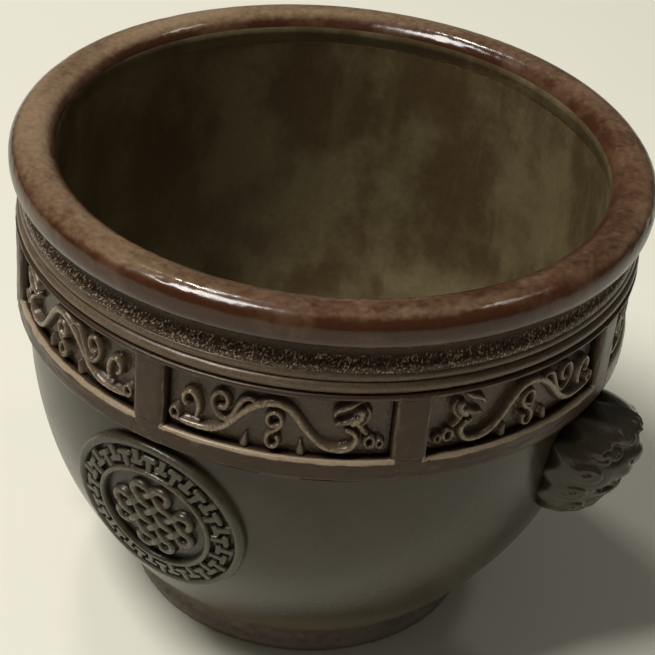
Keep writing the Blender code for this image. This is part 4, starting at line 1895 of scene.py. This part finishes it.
@dataclass(frozen=True)
class PhotoCamera:
    """Camera of the photograph, fitted to the rim, the frieze and the foot.

    Attributes:
        azimuth: angle of the camera about the rim's middle, from -Y towards +X, in degrees.
        elevation: angle over the horizon, in degrees.
        distance: distance from the rim's middle.
        roll: turn about the line of sight, in degrees.
        focal_px: focal length in pixels of the photograph.
        frame_px: width and height of the photograph in pixels.
        rim_px: pixel of the rim's middle.
        rim_drop: depth of the rim's middle under the highest point.
        sensor: sensor width in millimetres.
        clip_start: nearest distance that shows.
    """

    azimuth: float = 28.04
    elevation: float = 28.89
    distance: float = 0.2420
    roll: float = -5.35
    focal_px: float = 1762.07
    frame_px: float = 655.0
    rim_px: Point = (335.03, 152.73)
    rim_drop: float = 0.0027
    sensor: float = 36.0
    clip_start: float = 0.01

    def place(self) -> None:
        """Aims the camera at the rim's middle, rolls it and moves that middle to its pixel."""
        target = Vector((0.0, 0.0, float(box_of("rim_ring")[1][2]) - self.rim_drop))
        back = bearing(self.azimuth, self.elevation)
        aimed = (-back).to_track_quat("-Z", "Y").to_matrix()
        u, v = ((pixel - self.frame_px / 2) / self.focal_px for pixel in self.rim_px)
        seen = Vector((u, -v, -1.0)).normalized()
        offset = Vector((0.0, 0.0, -1.0)).rotation_difference(seen).to_matrix()
        roll = Matrix.Rotation(math.radians(self.roll), 3, "Z")
        way = aimed @ (offset @ roll).transposed()
        data = bpy.data.cameras.new("photo_camera")
        data.sensor_width = self.sensor
        data.lens = self.focal_px * self.sensor / self.frame_px
        data.clip_start = self.clip_start
        item = link("photo_camera", data)
        item.matrix_world = Matrix.Translation(target + back * self.distance) @ way.to_4x4()
        bpy.context.scene.camera = item


@dataclass(frozen=True)
class Softbox:
    """A soft studio light that looks at the bowl.

    Attributes:
        name: name of the light.
        azimuth: angle from -Y towards +X, in degrees.
        elevation: angle over the horizon, in degrees.
        size: edge length.
        power: power in watts.
        colour: colour of the light.
        distance: distance from the bowl.
        aim_z: height that it looks at.
    """

    name: str
    azimuth: float
    elevation: float
    size: float
    power: float
    colour: Colour
    distance: float = 1.2
    aim_z: float = 0.04

    def place(self) -> None:
        """Adds the light to the scene."""
        back = bearing(self.azimuth, self.elevation)
        data = bpy.data.lights.new(self.name, "AREA")
        data.size = self.size
        data.energy = self.power
        data.color = self.colour
        item = link(self.name, data)
        item.location = back * self.distance + Vector((0.0, 0.0, self.aim_z))
        item.rotation_mode = "QUATERNION"
        item.rotation_quaternion = (-back).to_track_quat("-Z", "Y")


@dataclass(frozen=True)
class Stage:
    """Pale table, soft lights and a dim surround.

    Attributes:
        floor_size: edge length of the table.
        floor_colour: colour of the table.
        floor_shade: second tone of the table, as a share of its colour.
        floor_roughness: roughness of the table.
        tone_range: noise values between which the second tone starts.
        tone_share: strength of the second tone.
        surround: colour of the surround.
        surround_level: strength of the surround.
        lights: lamps of the studio.
    """

    floor_size: float = 4.0
    floor_colour: Colour = (0.775, 0.762, 0.652)
    floor_shade: float = 0.93
    floor_roughness: float = 0.7
    tone_range: Point = (0.3, 0.7)
    tone_share: float = 0.35
    surround: Colour = (1.0, 0.97, 0.90)
    surround_level: float = 0.10
    lights: tuple[Softbox, ...] = (
        Softbox("key", -36.0, 64.0, 0.42, 14.6, (1.0, 0.98, 0.945)),
        Softbox("back", -115.0, 66.0, 0.12, 2.2, (1.0, 0.975, 0.93)),
        Softbox("side", 144.0, 60.0, 0.15, 0.6, (1.0, 0.975, 0.93)),
    )

    def lay_table(self) -> None:
        """Adds the table, a square under the bowl with a faintly uneven tone."""
        half = self.floor_size / 2
        corners = [(-half, -half, 0), (half, -half, 0), (half, half, 0), (-half, half, 0)]
        mesh = bpy.data.meshes.new("table")
        mesh.from_pydata(corners, [], [(0, 1, 2, 3)])
        graph = Graph("table_paint")
        cloud = graph.noise(scale=9.0, detail=3.0, roughness=0.55)
        tone = graph.span(cloud, self.tone_range, (0.0, self.tone_share))
        second = tuple(self.floor_shade * value for value in self.floor_colour)
        colour = graph.mix(tone, self.floor_colour, second)
        graph.fill(graph.shader, {"Base Color": colour, "Roughness": self.floor_roughness})
        mesh.materials.append(graph.material)
        link("table", mesh)

    def build(self) -> None:
        """Adds the table, the lights and the surround."""
        self.lay_table()
        for light in self.lights:
            light.place()
        world = bpy.data.worlds.new("surround")
        world.use_nodes = True
        background = world.node_tree.nodes["Background"]
        background.inputs["Color"].default_value = (*self.surround, 1.0)
        background.inputs["Strength"].default_value = self.surround_level
        bpy.context.scene.world = world
        bpy.context.scene.view_settings.view_transform = "Standard"


def dress() -> None:
    """Makes every piece of the bowl."""
    body, inside, rim = BODY.material(), INSIDE.material(), RIM.material()
    band, carving = FRIEZE.material(), CARVING.material()
    medal, foot = MEDAL.material(), FOOT.material()
    cup = Cup()
    cup.build(body, inside)
    FOOT_RING.build(foot)
    frieze = Frieze()
    frieze.build(band)
    panels = [ScrollPanel(index, frieze) for index in range(frieze.panels)]
    motif = panels[0].carving()
    for panel in panels:
        panel.build(motif, carving)
    for ring in (LOWER_BEAD, UPPER_BEAD, COLLAR):
        ring.build(band)
    Rim().build(rim, inside)
    for side, azimuth in (("front", -math.pi / 2), ("back", math.pi / 2)):
        medallion = Medallion(side, azimuth, cup)
        medallion.build_border(medal)
        medallion.build_emblem(medal)
    for side, azimuth in (("right", 0.0), ("left", math.pi)):
        LionMask(side, azimuth, cup).build(body)


def main() -> None:
    """Builds the dressed bowl, its stage and the camera."""
    logging.basicConfig(level=logging.INFO, format="%(name)s %(message)s")
    dress()
    Stage().build()
    PhotoCamera().place()


if __name__ == "__main__":
    main()
